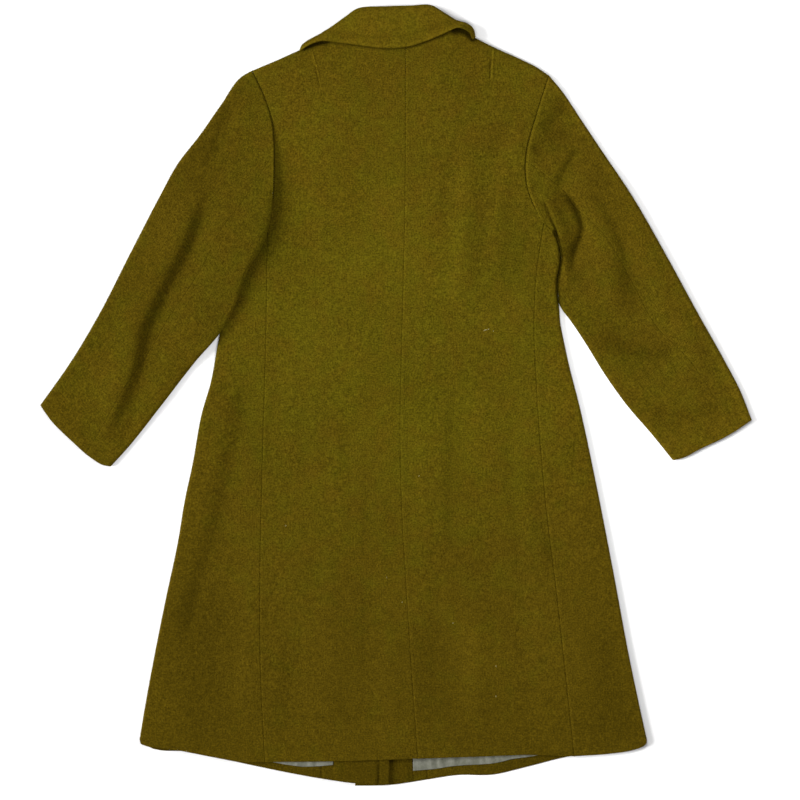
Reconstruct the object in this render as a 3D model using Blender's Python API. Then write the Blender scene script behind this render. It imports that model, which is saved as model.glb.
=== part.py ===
"""A wool coat laid out flat, face down, with the back of the body and sleeves upward."""
import bmesh
import bpy
import numpy as np

COAT = "coat"

# Cloth thicknesses and the space left at each seam, metres
WOOL = 0.0024
FACING = 0.0015
LINING = 0.0010
COLLAR = 0.0030
FRONT_COLLAR = 0.0020
GAP = 0.0003
SEAM_ROOM = 0.0004

# Heights above the floor
BACK_TOP = 0.0072
CROWN = 0.0056
CROWN_WIDTH = 0.150
COLLAR_LIFT = 0.0023
LEAF_REACH = (0.045, 0.075)
LAP_SLOPE = (-0.200, -0.040)

# The rolled edge where the back turns over to the front
ROLL = 0.006
ROLL_TURNS = np.radians((0.0, 25.0, 55.0, 90.0))
COLLAR_BEND = 0.0006
FRONT_BEND = 0.0004
COLLAR_TURNS = np.radians((-90.0, -50.0, -15.0, 15.0, 50.0, 90.0))
NECK_ROOM = 0.0008
FRONT_NECK_ROOM = 0.0022
ARMHOLE_ROOM = 0.0010

# Plan of the back: points run from the neck or shoulder down to the hem, x across and y up the coat
CENTRE_SEAM = ((0.014, 0.519), (0.013, 0.278), (0.008, 0.065), (0.006, -0.042), (0.008, -0.148),
               (0.018, -0.326), (0.031, -0.515))
LEFT_SIDE_SEAM = ((-0.183, 0.219), (-0.184, 0.107), (-0.189, -0.077), (-0.193, -0.290),
                  (-0.192, -0.390), (-0.186, -0.520))
RIGHT_SIDE_SEAM = ((0.210, 0.244), (0.200, 0.178), (0.196, 0.107), (0.199, 0.022), (0.212, -0.148),
                   (0.229, -0.290), (0.253, -0.512))
LEFT_ARMHOLE = ((-0.204, 0.461), (-0.187, 0.425), (-0.176, 0.390), (-0.173, 0.357), (-0.173, 0.320),
                (-0.176, 0.271), (-0.183, 0.219))
RIGHT_ARMHOLE = ((0.217, 0.454), (0.199, 0.398), (0.185, 0.346), (0.183, 0.320), (0.186, 0.296),
                 (0.195, 0.271), (0.210, 0.244))
LEFT_EDGE = ((-0.199, 0.208), (-0.222, 0.160), (-0.247, 0.100), (-0.253, 0.072), (-0.263, 0.018),
             (-0.275, -0.023), (-0.288, -0.099), (-0.308, -0.205), (-0.327, -0.290),
             (-0.352, -0.418), (-0.363, -0.491))
RIGHT_EDGE = ((0.222, 0.232), (0.226, 0.207), (0.222, 0.171), (0.222, 0.143), (0.230, 0.114),
              (0.244, 0.050), (0.260, -0.013), (0.283, -0.120), (0.308, -0.248), (0.332, -0.376),
              (0.355, -0.489))
LEFT_NECK = ((-0.132, 0.492), (-0.111, 0.502), (-0.087, 0.512), (-0.051, 0.518), (0.014, 0.519))
RIGHT_NECK = ((0.014, 0.519), (0.070, 0.523), (0.094, 0.522), (0.111, 0.508))
LEFT_SHOULDER = ((-0.204, 0.461), (-0.168, 0.476), (-0.148, 0.485), (-0.132, 0.492))
RIGHT_SHOULDER = ((0.111, 0.508), (0.141, 0.493), (0.179, 0.476), (0.199, 0.466), (0.217, 0.454))
LEFT_SIDE_HEM = ((-0.363, -0.491), (-0.349, -0.499), (-0.301, -0.506), (-0.226, -0.520), (-0.186, -0.520))
LEFT_HEM = ((-0.186, -0.520), (-0.091, -0.519), (0.031, -0.515))
RIGHT_HEM = ((0.031, -0.515), (0.129, -0.512), (0.187, -0.510), (0.253, -0.512))
RIGHT_SIDE_HEM = ((0.253, -0.512), (0.307, -0.508), (0.341, -0.501), (0.355, -0.489))

# Plan of the fronts, which lap at the middle
LEFT_FRONT_NECK = ((-0.132, 0.492), (-0.108, 0.441), (-0.062, 0.403), (0.011, 0.386))
RIGHT_FRONT_NECK = ((-0.024, 0.386), (0.041, 0.403), (0.088, 0.448), (0.111, 0.508))
LEFT_FRONT_EDGE = ((0.011, 0.386), (-0.009, -0.552))
RIGHT_FRONT_EDGE = ((-0.024, 0.386), (-0.058, -0.554))
LEFT_FRONT_HEM = ((-0.363, -0.491), (-0.293, -0.504), (-0.206, -0.524), (-0.149, -0.536), (-0.104, -0.544),
                  (-0.062, -0.550), (-0.009, -0.552))
RIGHT_FRONT_HEM = ((-0.058, -0.554), (-0.011, -0.553), (0.045, -0.545), (0.084, -0.539), (0.139, -0.538),
                   (0.180, -0.528), (0.251, -0.510), (0.307, -0.504), (0.355, -0.489))
# Rows of the lap: y, how far the left front stands above the floor there
LAP_RISE = ((-0.600, 0.0045), (0.150, 0.0045), (0.250, 0.0036), (0.390, 0.0036), (0.440, 0.0))
# Share of each front where the facing ends, share down where facing and lining begin, lining above hem
LEFT_FACING_FROM = 0.777
RIGHT_FACING_TO = 0.193
LEFT_LINING_FROM = 0.150
RIGHT_LINING_TO = 0.850
INSIDE_FROM = 0.300
LEFT_LINING_RISE = (0.008, 0.022)
RIGHT_LINING_RISE = (0.017, 0.019)
EDGE_SETBACK = 0.0010

# Plan of the sleeves, from armhole to cuff
LEFT_SLEEVE_ARMHOLE = ((-0.204, 0.461), (-0.187, 0.425), (-0.176, 0.390), (-0.173, 0.357), (-0.173, 0.320),
                       (-0.174, 0.292))
LEFT_SLEEVE_OUTER = ((-0.204, 0.461), (-0.217, 0.454), (-0.248, 0.413), (-0.278, 0.370), (-0.311, 0.327),
                     (-0.334, 0.285), (-0.378, 0.200), (-0.422, 0.114), (-0.460, 0.050), (-0.505, -0.014))
LEFT_SLEEVE_INNER = ((-0.174, 0.292), (-0.177, 0.256), (-0.187, 0.218), (-0.210, 0.177), (-0.233, 0.117),
                     (-0.250, 0.088), (-0.283, 0.050), (-0.332, -0.013), (-0.383, -0.077), (-0.405, -0.101))
LEFT_CUFF = ((-0.505, -0.014), (-0.490, -0.035), (-0.460, -0.065), (-0.435, -0.087), (-0.415, -0.099),
             (-0.405, -0.101))
RIGHT_SLEEVE_ARMHOLE = ((0.217, 0.454), (0.199, 0.398), (0.185, 0.346), (0.183, 0.320), (0.186, 0.296),
                        (0.196, 0.272), (0.211, 0.246), (0.227, 0.236))
RIGHT_SLEEVE_OUTER = ((0.217, 0.454), (0.234, 0.434), (0.263, 0.391), (0.291, 0.349), (0.334, 0.285),
                      (0.383, 0.200), (0.430, 0.114), (0.466, 0.050), (0.488, 0.008), (0.505, -0.035))
RIGHT_SLEEVE_INNER = ((0.227, 0.236), (0.235, 0.211), (0.233, 0.187), (0.229, 0.164), (0.235, 0.131),
                      (0.244, 0.114), (0.273, 0.072), (0.297, 0.029), (0.327, -0.013), (0.364, -0.056),
                      (0.393, -0.092))
RIGHT_CUFF = ((0.505, -0.035), (0.473, -0.056), (0.430, -0.077), (0.406, -0.089), (0.393, -0.092))
# Rows of the elbow seam: share down the sleeve, share across from the outer edge
LEFT_ELBOW_SEAM = ((0.0, 0.720), (0.20, 0.630), (0.35, 0.605), (0.52, 0.585), (0.68, 0.605), (0.83, 0.610),
                   (1.0, 0.700))
RIGHT_ELBOW_SEAM = ((0.0, 0.525), (0.06, 0.565), (0.11, 0.555), (0.30, 0.385), (0.50, 0.380), (0.63, 0.390),
                    (0.77, 0.290), (0.90, 0.265), (1.0, 0.225))
FOREARM_SEAM = 0.82
SLEEVE_HOLD = 0.14
# The left sleeve's inner side lies on the body: lift below, lift above, shares across, shares down
LEFT_SLEEVE_LIFT = (0.0095, 0.0072)
RIGHT_SLEEVE_LIFT = (0.0, 0.0)
LIFT_ACROSS = (0.70, 0.90)
LIFT_DOWN = (0.50, 0.64)

# Rows of folds in a sleeve: start x, y, bend x, y, end x, y, width, rise
LEFT_SLEEVE_FOLDS = ((-0.235, 0.400, -0.345, 0.255, -0.450, 0.030, 0.032, 0.0050),
                     (-0.230, 0.270, -0.285, 0.190, -0.360, 0.020, 0.030, 0.0055),
                     (-0.278, 0.271, -0.325, 0.150, -0.410, -0.045, 0.020, -0.0018))
RIGHT_SLEEVE_FOLDS = ((0.270, 0.350, 0.310, 0.250, 0.290, 0.130, 0.032, 0.0055),
                      (0.300, 0.330, 0.400, 0.170, 0.450, 0.050, 0.028, 0.0040),
                      (0.300, 0.250, 0.345, 0.160, 0.385, 0.080, 0.022, -0.0015))
FOLD_ENDS = 0.25
FOLD_STEPS = 24

# Rows of the collar: share along the neckline, roll x, y, outer edge x, y, lift of that edge
COLLAR_ROWS = ((0.02, -0.134, 0.497, -0.138, 0.487, 0.002),
               (0.08, -0.125, 0.504, -0.121, 0.495, 0.005),
               (0.16, -0.108, 0.513, -0.103, 0.502, 0.005),
               (0.26, -0.089, 0.525, -0.075, 0.499, 0.001),
               (0.34, -0.071, 0.538, -0.051, 0.496, 0.000),
               (0.44, -0.051, 0.550, -0.028, 0.493, 0.000),
               (0.54, -0.016, 0.552, -0.006, 0.492, 0.000),
               (0.64, 0.020, 0.553, 0.017, 0.494, 0.000),
               (0.74, 0.048, 0.554, 0.040, 0.501, 0.000),
               (0.81, 0.067, 0.544, 0.060, 0.509, 0.001),
               (0.88, 0.085, 0.533, 0.075, 0.516, 0.004),
               (0.93, 0.101, 0.528, 0.088, 0.521, 0.007),
               (0.96, 0.110, 0.519, 0.101, 0.511, 0.005),
               (0.98, 0.113, 0.514, 0.105, 0.506, 0.003))
# Rows of the collar's front ends: share along the front neckline, roll x, y, outer edge x, y
LEFT_LEAF_ROWS = ((0.06, -0.121, 0.491, -0.139, 0.478),
                  (0.32, -0.102, 0.447, -0.136, 0.422),
                  (0.58, -0.064, 0.413, -0.105, 0.363),
                  (0.76, -0.032, 0.404, -0.068, 0.333))
RIGHT_LEAF_ROWS = ((0.94, 0.098, 0.501, 0.118, 0.489),
                   (0.68, 0.081, 0.454, 0.118, 0.427),
                   (0.42, 0.045, 0.419, 0.088, 0.366),
                   (0.26, 0.019, 0.405, 0.050, 0.333))

# A column this close to the shoulder's end counts as on it, and a piece with no shoulder has an empty span
NEAR = 0.002
NO_SHOULDER = (0.5, 0.4)

# Cells across each kind of piece, down its armhole part and down in all
ARMHOLE_SHARE = 0.27
CENTRE_CELLS = (9, 20, 36)
SIDE_CELLS = (4, 7, 20)
FRONT_CELLS = (10, 14, 22)
FACING_CELLS = (3, 10)
LINING_CELLS = (7, 8)
UPPER_SLEEVE_CELLS = (5, 4)
UNDER_SLEEVE_CELLS = (4, 2)
SLEEVE_ROWS = 20
FALL_CELLS = 4
STAND_CELLS = 2

# Colour and roughness of each cloth
WOOL_LOOK = ((0.100, 0.071, 0.005, 1.0), 0.95)
LINING_LOOK = ((0.150, 0.150, 0.110, 1.0), 0.50)


def ease(low, high, value):
    """Share from 0 at low to 1 at high with soft ends."""
    share = np.clip((value - low) / (high - low), 0.0, 1.0)
    return share * share * (3.0 - 2.0 * share)


class Line:
    """A smooth line on the floor plan through its points, read by share of its length."""

    def __init__(self, points):
        self.points = np.array(points, dtype=float)
        steps = np.hypot(*np.diff(self.points, axis=0).T)
        self.length = steps.sum()
        self.marks = np.concatenate(([0.0], np.cumsum(steps))) / self.length
        if len(points) > 2:
            self.slopes = np.gradient(self.points, self.marks, axis=0)
        else:
            self.slopes = np.repeat(np.diff(self.points, axis=0), 2, axis=0)

    def __call__(self, share):
        share = np.clip(np.asarray(share, dtype=float), 0.0, 1.0)
        span = np.clip(np.searchsorted(self.marks, share, side="right") - 1, 0, len(self.points) - 2)
        width = self.marks[span + 1] - self.marks[span]
        part = ((share - self.marks[span]) / width)[..., None]
        width = width[..., None]
        start = (1.0 + 2.0 * part) * (1.0 - part) ** 2 * self.points[span]
        start_slope = part * (1.0 - part) ** 2 * width * self.slopes[span]
        end = part ** 2 * (3.0 - 2.0 * part) * self.points[span + 1]
        end_slope = part ** 2 * (part - 1.0) * width * self.slopes[span + 1]
        return start + start_slope + end + end_slope


class Joined:
    """Two lines one after the other, with a corner where they meet."""

    def __init__(self, first, second):
        self.first = first
        self.second = second
        self.length = first.length + second.length
        self.corner = first.length / self.length

    def __call__(self, share):
        share = np.asarray(share, dtype=float)
        early = self.first(share / self.corner)
        late = self.second((share - self.corner) / (1.0 - self.corner))
        return np.where((share < self.corner)[..., None], early, late)


class Plan:
    """A cloth piece's plan between four lines, read by shares across and down."""

    def __init__(self, left, right, top, hem, hold=1.0):
        self.left = left
        self.right = right
        self.top = top
        self.hem = hem
        self.hold = hold

    def bow(self, line, across):
        """How far an end line stands off the straight between its own ends."""
        return line(across) - (1.0 - across)[..., None] * line(0.0) - across[..., None] * line(1.0)

    def __call__(self, across, down):
        sides = (1.0 - across)[..., None] * self.left(down) + across[..., None] * self.right(down)
        near_top = np.clip(1.0 - down / self.hold, 0.0, 1.0) ** 2
        near_hem = np.clip(1.0 - (1.0 - down) / self.hold, 0.0, 1.0) ** 2
        upper = near_top[..., None] * self.bow(self.top, across)
        lower = near_hem[..., None] * self.bow(self.hem, across)
        return sides + upper + lower

    def width(self, down):
        return np.linalg.norm(self.right(down) - self.left(down), axis=-1)

    def height(self, across):
        return np.linalg.norm(self.top(across) - self.hem(across), axis=-1)


def nearness(spots, x, y):
    """Distance from each place to the nearest of the spots, and which spot that is."""
    away = np.hypot(x[..., None] - spots[:, 0], y[..., None] - spots[:, 1])
    return away.min(axis=-1), away.argmin(axis=-1)


def lap_middle(y):
    right = np.interp(y, (RIGHT_FRONT_EDGE[1][1], RIGHT_FRONT_EDGE[0][1]),
                      (RIGHT_FRONT_EDGE[1][0], RIGHT_FRONT_EDGE[0][0]))
    left = np.interp(y, (LEFT_FRONT_EDGE[1][1], LEFT_FRONT_EDGE[0][1]),
                     (LEFT_FRONT_EDGE[1][0], LEFT_FRONT_EDGE[0][0]))
    return (left + right) / 2.0, right


def back_height(x, y):
    """Height of the back's upper face away from its rolled edges."""
    middle, _ = lap_middle(y)
    return BACK_TOP + CROWN * np.exp(-((x - middle) / CROWN_WIDTH) ** 2)


def collar_room(x, y):
    """Height of the fronts' lower face where the collar's front ends lie under them."""
    lift = np.zeros_like(x)
    for rows in (LEFT_LEAF_ROWS, RIGHT_LEAF_ROWS):
        table = np.array(rows)
        spots = Line((table[:, 1:3] + table[:, 3:5]) / 2.0)(np.linspace(0.0, 1.0, FOLD_STEPS))
        away, _ = nearness(spots, x, y)
        lift = np.maximum(lift, COLLAR_LIFT * (1.0 - ease(*LEAF_REACH, away)))
    return lift


def left_front_base(x, y):
    _, right_edge = lap_middle(y)
    rise = np.interp(y, [row[0] for row in LAP_RISE], [row[1] for row in LAP_RISE])
    return collar_room(x, y) + rise * ease(right_edge + LAP_SLOPE[0], right_edge + LAP_SLOPE[1], x)


def fold_height(folds, x, y):
    """Sum of the soft ridges and troughs in a table of folds."""
    total = np.zeros_like(x)
    share = np.linspace(0.0, 1.0, FOLD_STEPS)[:, None]
    for row in folds:
        start, bend, end = np.array(row[:6]).reshape(3, 2)
        spots = (1 - share) ** 2 * start + 2 * share * (1 - share) * bend + share ** 2 * end
        away, nearest = nearness(spots, x, y)
        along = nearest / (FOLD_STEPS - 1.0)
        fade = ease(0.0, FOLD_ENDS, along) * ease(0.0, FOLD_ENDS, 1.0 - along)
        total += row[7] * fade * np.exp(-(away / row[6]) ** 2)
    return total


def rolled(away):
    """Share of the full height at a distance in from a rolled edge."""
    inside = np.clip(1.0 - away / ROLL, 0.0, 1.0)
    return np.sqrt(1.0 - inside ** 2)


def wall_side(away):
    """Distance of the inner face from a rolled edge, for an outer face that far from it."""
    return away + WOOL * np.clip(1.0 - away / ROLL, 0.0, 1.0)


def stations(span, cells, roll_start, roll_end, corner=0.5, before=None):
    """Distances across a span: close at a rolled edge, even on each side of a corner between."""
    close = ROLL * (1.0 - np.cos(ROLL_TURNS))
    span = np.asarray(span, dtype=float)[:, None]
    first = close if roll_start else np.array([SEAM_ROOM])
    last = close if roll_end else np.array([SEAM_ROOM])
    before = before or max(1, round(cells * corner))
    counts = np.arange(1, cells)[None, :]
    turn = corner * span
    early = first[-1] + (turn - first[-1]) * counts / before
    late = turn + (span - last[-1] - turn) * (counts - before) / max(1, cells - before)
    start = np.repeat(first[None, :], len(span), axis=0)
    middle = np.where(counts <= before, early, late)
    end = span - last[::-1][None, :]
    return np.concatenate((start, middle, end), axis=1)


def material(name, colour, rough):
    made = bpy.data.materials.new(name)
    made.use_nodes = True
    shader = made.node_tree.nodes["Principled BSDF"]
    shader.inputs["Base Color"].default_value = colour
    shader.inputs["Roughness"].default_value = rough
    return made


def wall(name, outer, inner, look):
    """A closed cloth wall between two skins of points, rows down and columns across."""
    rows, columns = outer.shape[:2]
    mesh = bmesh.new()
    bmesh.ops.create_grid(mesh, x_segments=columns - 1, y_segments=rows - 1, size=0.5)
    raised = bmesh.ops.extrude_face_region(mesh, geom=mesh.faces[:], use_keep_orig=True)
    fresh = [item for item in raised["geom"] if isinstance(item, bmesh.types.BMVert)]
    bmesh.ops.translate(mesh, vec=(0.0, 0.0, 1.0), verts=fresh)
    for vert in mesh.verts:
        column = round((vert.co.x + 0.5) * (columns - 1))
        row = round((vert.co.y + 0.5) * (rows - 1))
        skin = outer if vert.co.z > 0.5 else inner
        vert.co = skin[row, column]
    bmesh.ops.recalc_face_normals(mesh, faces=mesh.faces)
    if mesh.calc_volume(signed=True) < 0.0:
        bmesh.ops.reverse_faces(mesh, faces=mesh.faces)
    data = bpy.data.meshes.new(name)
    mesh.to_mesh(data)
    mesh.free()
    data.materials.append(material(name, *look))
    piece = bpy.data.objects.new(name, data)
    bpy.data.collections[COAT].objects.link(piece)
    return piece


def skin_points(plan, across, down, height):
    spots = plan(across, down)
    return np.concatenate((spots, height(spots[..., 0], spots[..., 1])[..., None]), axis=-1)


def body_grid(plan, cells, roll_left, roll_right, corner):
    """Distances in from each side and from the top of a body piece, row by row."""
    across_cells, armhole_cells, down_cells = cells
    count = across_cells + 1 + sum(len(ROLL_TURNS) - 1 for side in (roll_left, roll_right) if side)
    heights = plan.height(np.linspace(0.0, 1.0, count))
    from_top = stations(heights, down_cells, True, False, ARMHOLE_SHARE, armhole_cells).T
    share_down = from_top / heights[None, :]
    widths = plan.width(share_down.mean(axis=1))
    from_left = stations(widths, across_cells, roll_left, roll_right, corner)
    return from_left, widths[:, None], from_top


def body_piece(name, plan, cells, roll_left, roll_right, shoulder, base, upper):
    """A back panel (upper) or a front (lower) with its side and shoulder edges rolled over."""
    corner = shoulder[1] if shoulder[0] == 0.0 else shoulder[0]
    from_left, widths, from_top = body_grid(plan, cells, roll_left, roll_right, corner)
    skins = []
    for inner in (False, True):
        left_in = wall_side(from_left) if inner and roll_left else from_left
        right_in = widths - from_left
        right_in = wall_side(right_in) if inner and roll_right else right_in
        across = (widths - right_in) / widths if roll_right else left_in / widths
        rolls_top = (across > shoulder[0] - NEAR) & (across < shoulder[1] + NEAR)
        top_in = np.where(rolls_top, wall_side(from_top), from_top) if inner else from_top
        down = top_in / plan.height(across)
        spots = plan(across, down)
        x, y = spots[..., 0], spots[..., 1]
        floor = base(x, y)
        low = collar_room(x, y) if upper else floor
        middle = (low + back_height(x, y)) / 2.0
        turn = np.where(rolls_top, rolled(from_top), 1.0)
        if roll_left:
            turn = turn * rolled(from_left)
        if roll_right:
            turn = turn * rolled(widths - from_left)
        if upper:
            seam = middle + GAP / 2.0
            z = seam + (back_height(x, y) - (WOOL if inner else 0.0) - seam) * turn
        else:
            seam = middle - GAP / 2.0
            z = seam - (seam - floor - (WOOL if inner else 0.0)) * turn
        skins.append(np.concatenate((spots, z[..., None]), axis=-1))
    return wall(name, skins[0], skins[1], WOOL_LOOK)


def inside_piece(name, plan, cells, sides, rise, base, thick, look):
    """A facing or lining lying on a front, made from the front's own points moved up."""
    across, share = np.meshgrid(np.linspace(*sides, cells[0] + 1), np.linspace(0.0, 1.0, cells[1] + 1))
    over_hem = np.interp(across, sides, rise) / plan.height(across)
    down = INSIDE_FROM + share * (1.0 - over_hem - INSIDE_FROM)
    low = skin_points(plan, across, down, lambda x, y: base(x, y) + WOOL + GAP)
    high = low + np.array((0.0, 0.0, thick))
    return wall(name, high, low, look)


def sleeve_piece(name, plan, seam_rows, folds, lift, cells, outer_side):
    """One half of a sleeve: from the elbow seam on top, round its edge, to the forearm seam below."""
    top_cells, under_cells = cells
    down = np.linspace(0.0, 1.0, SLEEVE_ROWS + 1)
    down[0] = ARMHOLE_ROOM / plan.left.length
    widths = plan.width(down)
    seam = np.interp(down, [row[0] for row in seam_rows], [row[1] for row in seam_rows])
    top_reach = widths * (seam if outer_side else 1.0 - seam)
    under_reach = widths * (FOREARM_SEAM if outer_side else 1.0 - FOREARM_SEAM)
    top_away = stations(top_reach, top_cells + 1, True, False)[:, ::-1]
    under_away = stations(under_reach, under_cells + 1, True, False)[:, 1:]
    away = np.concatenate((top_away, under_away), axis=1)
    above = np.concatenate((np.ones_like(top_away), -np.ones_like(under_away)), axis=1)
    down = np.repeat(down[:, None], away.shape[1], axis=1)
    skins = []
    for inner in (False, True):
        reach = wall_side(away) if inner else away
        across = reach / widths[:, None] if outer_side else 1.0 - reach / widths[:, None]
        spots = plan(across, down)
        x, y = spots[..., 0], spots[..., 1]
        leaning = ease(*LIFT_ACROSS, across) * (1.0 - ease(*LIFT_DOWN, down))
        floor = lift[0] * leaning
        top = back_height(x, y) + fold_height(folds, x, y) + lift[1] * leaning
        middle = (floor + top) / 2.0
        wall_share = WOOL if inner else 0.0
        z_top = middle + (top - wall_share - middle) * rolled(away)
        z_under = middle - (middle - floor - wall_share) * rolled(away)
        z = np.where(above > 0.0, z_top, z_under)
        skins.append(np.concatenate((spots, z[..., None]), axis=-1))
    return wall(name, skins[0], skins[1], WOOL_LOOK)


def collar_section(seam, roll, edge, centre, seam_ramp, edge_ramp, outside, radius, upward):
    """Points of one section: up the stand, round the roll and down the fall."""
    inward = (edge - roll) / np.linalg.norm(edge - roll)
    turn_centre = roll + inward * outside
    points = []
    for share in np.linspace(0.0, 1.0, STAND_CELLS + 1)[:-1]:
        spot = seam + (turn_centre - seam) * share
        points.append((*spot, centre - upward * radius + seam_ramp * (1.0 - share)))
    for turn in COLLAR_TURNS:
        spot = turn_centre - inward * radius * np.cos(turn)
        points.append((*spot, centre + upward * radius * np.sin(turn)))
    for share in np.linspace(0.0, 1.0, FALL_CELLS + 1)[1:]:
        spot = turn_centre + (edge - turn_centre) * share
        points.append((*spot, centre + upward * radius + edge_ramp * ease(0.0, 1.0, share)))
    return points


def back_collar():
    """The collar's back part: its fall lies on the back, its stand rises from the neckline."""
    neckline = Joined(Line(LEFT_NECK), Line(RIGHT_NECK))
    skins = ([], [])
    table = np.array(COLLAR_ROWS)
    marks = np.linspace(0.0, len(table) - 1.0, 2 * len(table) - 1)
    columns = [np.interp(marks, np.arange(len(table)), column) for column in table.T]
    for share, roll_x, roll_y, edge_x, edge_y, lift in zip(*columns):
        roll = np.array((roll_x, roll_y))
        edge = np.array((edge_x, edge_y))
        seam = neckline(share)
        seam = seam + NECK_ROOM * (roll - seam) / np.linalg.norm(roll - seam)
        centre = float(back_height(edge[:1], edge[1:])[0]) + GAP - COLLAR_BEND
        neck_height = float(back_height(seam[:1], seam[1:])[0]) - WOOL / 2.0
        seam_ramp = neck_height - (centre - COLLAR_BEND - COLLAR / 2.0)
        outside = COLLAR + COLLAR_BEND
        for skin, radius in zip(skins, (outside, COLLAR_BEND)):
            skin.append(collar_section(seam, roll, edge, centre, seam_ramp, lift, outside, radius, 1.0))
    return wall("collar", np.array(skins[0]), np.array(skins[1]), WOOL_LOOK)


def front_collar(name, neck, rows):
    """A hidden front end of the collar: its fall lies on the floor under the front."""
    neckline = Line(neck)
    skins = ([], [])
    for share, roll_x, roll_y, edge_x, edge_y in rows:
        roll = np.array((roll_x, roll_y))
        edge = np.array((edge_x, edge_y))
        seam = neckline(share)
        seam = seam + FRONT_NECK_ROOM * (roll - seam) / np.linalg.norm(roll - seam)
        outside = FRONT_COLLAR + FRONT_BEND
        for skin, radius in zip(skins, (outside, FRONT_BEND)):
            skin.append(collar_section(seam, roll, edge, outside, 0.0, 0.0, outside, radius, -1.0))
    return wall(name, np.array(skins[0]), np.array(skins[1]), WOOL_LOOK)


def build():
    for old in list(bpy.data.objects):
        bpy.data.objects.remove(old)
    bpy.context.scene.collection.children.link(bpy.data.collections.new(COAT))

    centre_seam = Line(CENTRE_SEAM)
    left_seam = Line(LEFT_SIDE_SEAM)
    right_seam = Line(RIGHT_SIDE_SEAM)
    left_armhole = Line(LEFT_ARMHOLE)
    right_armhole = Line(RIGHT_ARMHOLE)
    left_shoulder = Line(LEFT_SHOULDER)
    right_shoulder = Line(RIGHT_SHOULDER)
    left_underarm = Line((LEFT_EDGE[0], LEFT_SIDE_SEAM[0]))
    right_underarm = Line((RIGHT_SIDE_SEAM[0], RIGHT_EDGE[0]))

    # Back panels
    left_top = Joined(left_shoulder, Line(LEFT_NECK))
    right_top = Joined(Line(RIGHT_NECK), right_shoulder)
    left_plan = Plan(Joined(left_armhole, left_seam), centre_seam, left_top, Line(LEFT_HEM))
    right_plan = Plan(centre_seam, Joined(right_armhole, right_seam), right_top, Line(RIGHT_HEM))
    body_piece("back_centre_left", left_plan, CENTRE_CELLS, False, False, (0.0, left_top.corner),
               collar_room, True)
    body_piece("back_centre_right", right_plan, CENTRE_CELLS, False, False, (right_top.corner, 1.0),
               collar_room, True)
    left_side = Plan(Line(LEFT_EDGE), left_seam, left_underarm, Line(LEFT_SIDE_HEM))
    right_side = Plan(right_seam, Line(RIGHT_EDGE), right_underarm, Line(RIGHT_SIDE_HEM))
    body_piece("back_side_left", left_side, SIDE_CELLS, True, False, NO_SHOULDER, collar_room, True)
    body_piece("back_side_right", right_side, SIDE_CELLS, False, True, NO_SHOULDER, collar_room, True)

    # Fronts, and the facings and linings that lie on them
    left_outline = Joined(left_armhole, Line((LEFT_ARMHOLE[-1], *LEFT_EDGE)))
    right_outline = Joined(right_armhole, Line((RIGHT_ARMHOLE[-1], *RIGHT_EDGE)))
    left_front_top = Joined(left_shoulder, Line(LEFT_FRONT_NECK))
    right_front_top = Joined(Line(RIGHT_FRONT_NECK), right_shoulder)
    left_front = Plan(left_outline, Line(LEFT_FRONT_EDGE), left_front_top, Line(LEFT_FRONT_HEM))
    right_front = Plan(Line(RIGHT_FRONT_EDGE), right_outline, right_front_top, Line(RIGHT_FRONT_HEM))
    body_piece("front_left", left_front, FRONT_CELLS, True, False, (0.0, left_front_top.corner),
               left_front_base, False)
    body_piece("front_right", right_front, FRONT_CELLS, False, True, (right_front_top.corner, 1.0),
               collar_room, False)
    inset = EDGE_SETBACK / left_front.width(np.array(1.0))
    hem_inset = (EDGE_SETBACK, EDGE_SETBACK)
    inside_piece("facing_left", left_front, FACING_CELLS, (LEFT_FACING_FROM, 1.0 - inset), hem_inset,
                 left_front_base, FACING, WOOL_LOOK)
    inside_piece("facing_right", right_front, FACING_CELLS, (inset, RIGHT_FACING_TO), hem_inset,
                 collar_room, FACING, WOOL_LOOK)
    inside_piece("lining_left", left_front, LINING_CELLS, (LEFT_LINING_FROM, LEFT_FACING_FROM - inset),
                 LEFT_LINING_RISE, left_front_base, LINING, LINING_LOOK)
    inside_piece("lining_right", right_front, LINING_CELLS, (RIGHT_FACING_TO + inset, RIGHT_LINING_TO),
                 RIGHT_LINING_RISE, collar_room, LINING, LINING_LOOK)

    # Sleeves
    left_sleeve = Plan(Line(LEFT_SLEEVE_OUTER), Line(LEFT_SLEEVE_INNER), Line(LEFT_SLEEVE_ARMHOLE),
                       Line(LEFT_CUFF), SLEEVE_HOLD)
    right_sleeve = Plan(Line(RIGHT_SLEEVE_OUTER), Line(RIGHT_SLEEVE_INNER), Line(RIGHT_SLEEVE_ARMHOLE),
                        Line(RIGHT_CUFF), SLEEVE_HOLD)
    for side, plan, seam, folds, lift in (
            ("left", left_sleeve, LEFT_ELBOW_SEAM, LEFT_SLEEVE_FOLDS, LEFT_SLEEVE_LIFT),
            ("right", right_sleeve, RIGHT_ELBOW_SEAM, RIGHT_SLEEVE_FOLDS, RIGHT_SLEEVE_LIFT)):
        sleeve_piece("sleeve_upper_" + side, plan, seam, folds, lift, UPPER_SLEEVE_CELLS, True)
        sleeve_piece("sleeve_under_" + side, plan, seam, folds, lift, UNDER_SLEEVE_CELLS, False)

    # Collar
    back_collar()
    front_collar("collar_front_left", LEFT_FRONT_NECK, LEFT_LEAF_ROWS)
    front_collar("collar_front_right", RIGHT_FRONT_NECK, RIGHT_LEAF_ROWS)


build()
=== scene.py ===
"""Looks of a wool coat laid out flat, face down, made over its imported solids."""
import math

import bpy
import numpy as np
from bpy.props import FloatProperty, FloatVectorProperty, IntProperty, PointerProperty
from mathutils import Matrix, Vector
from mathutils.bvhtree import BVHTree


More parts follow.
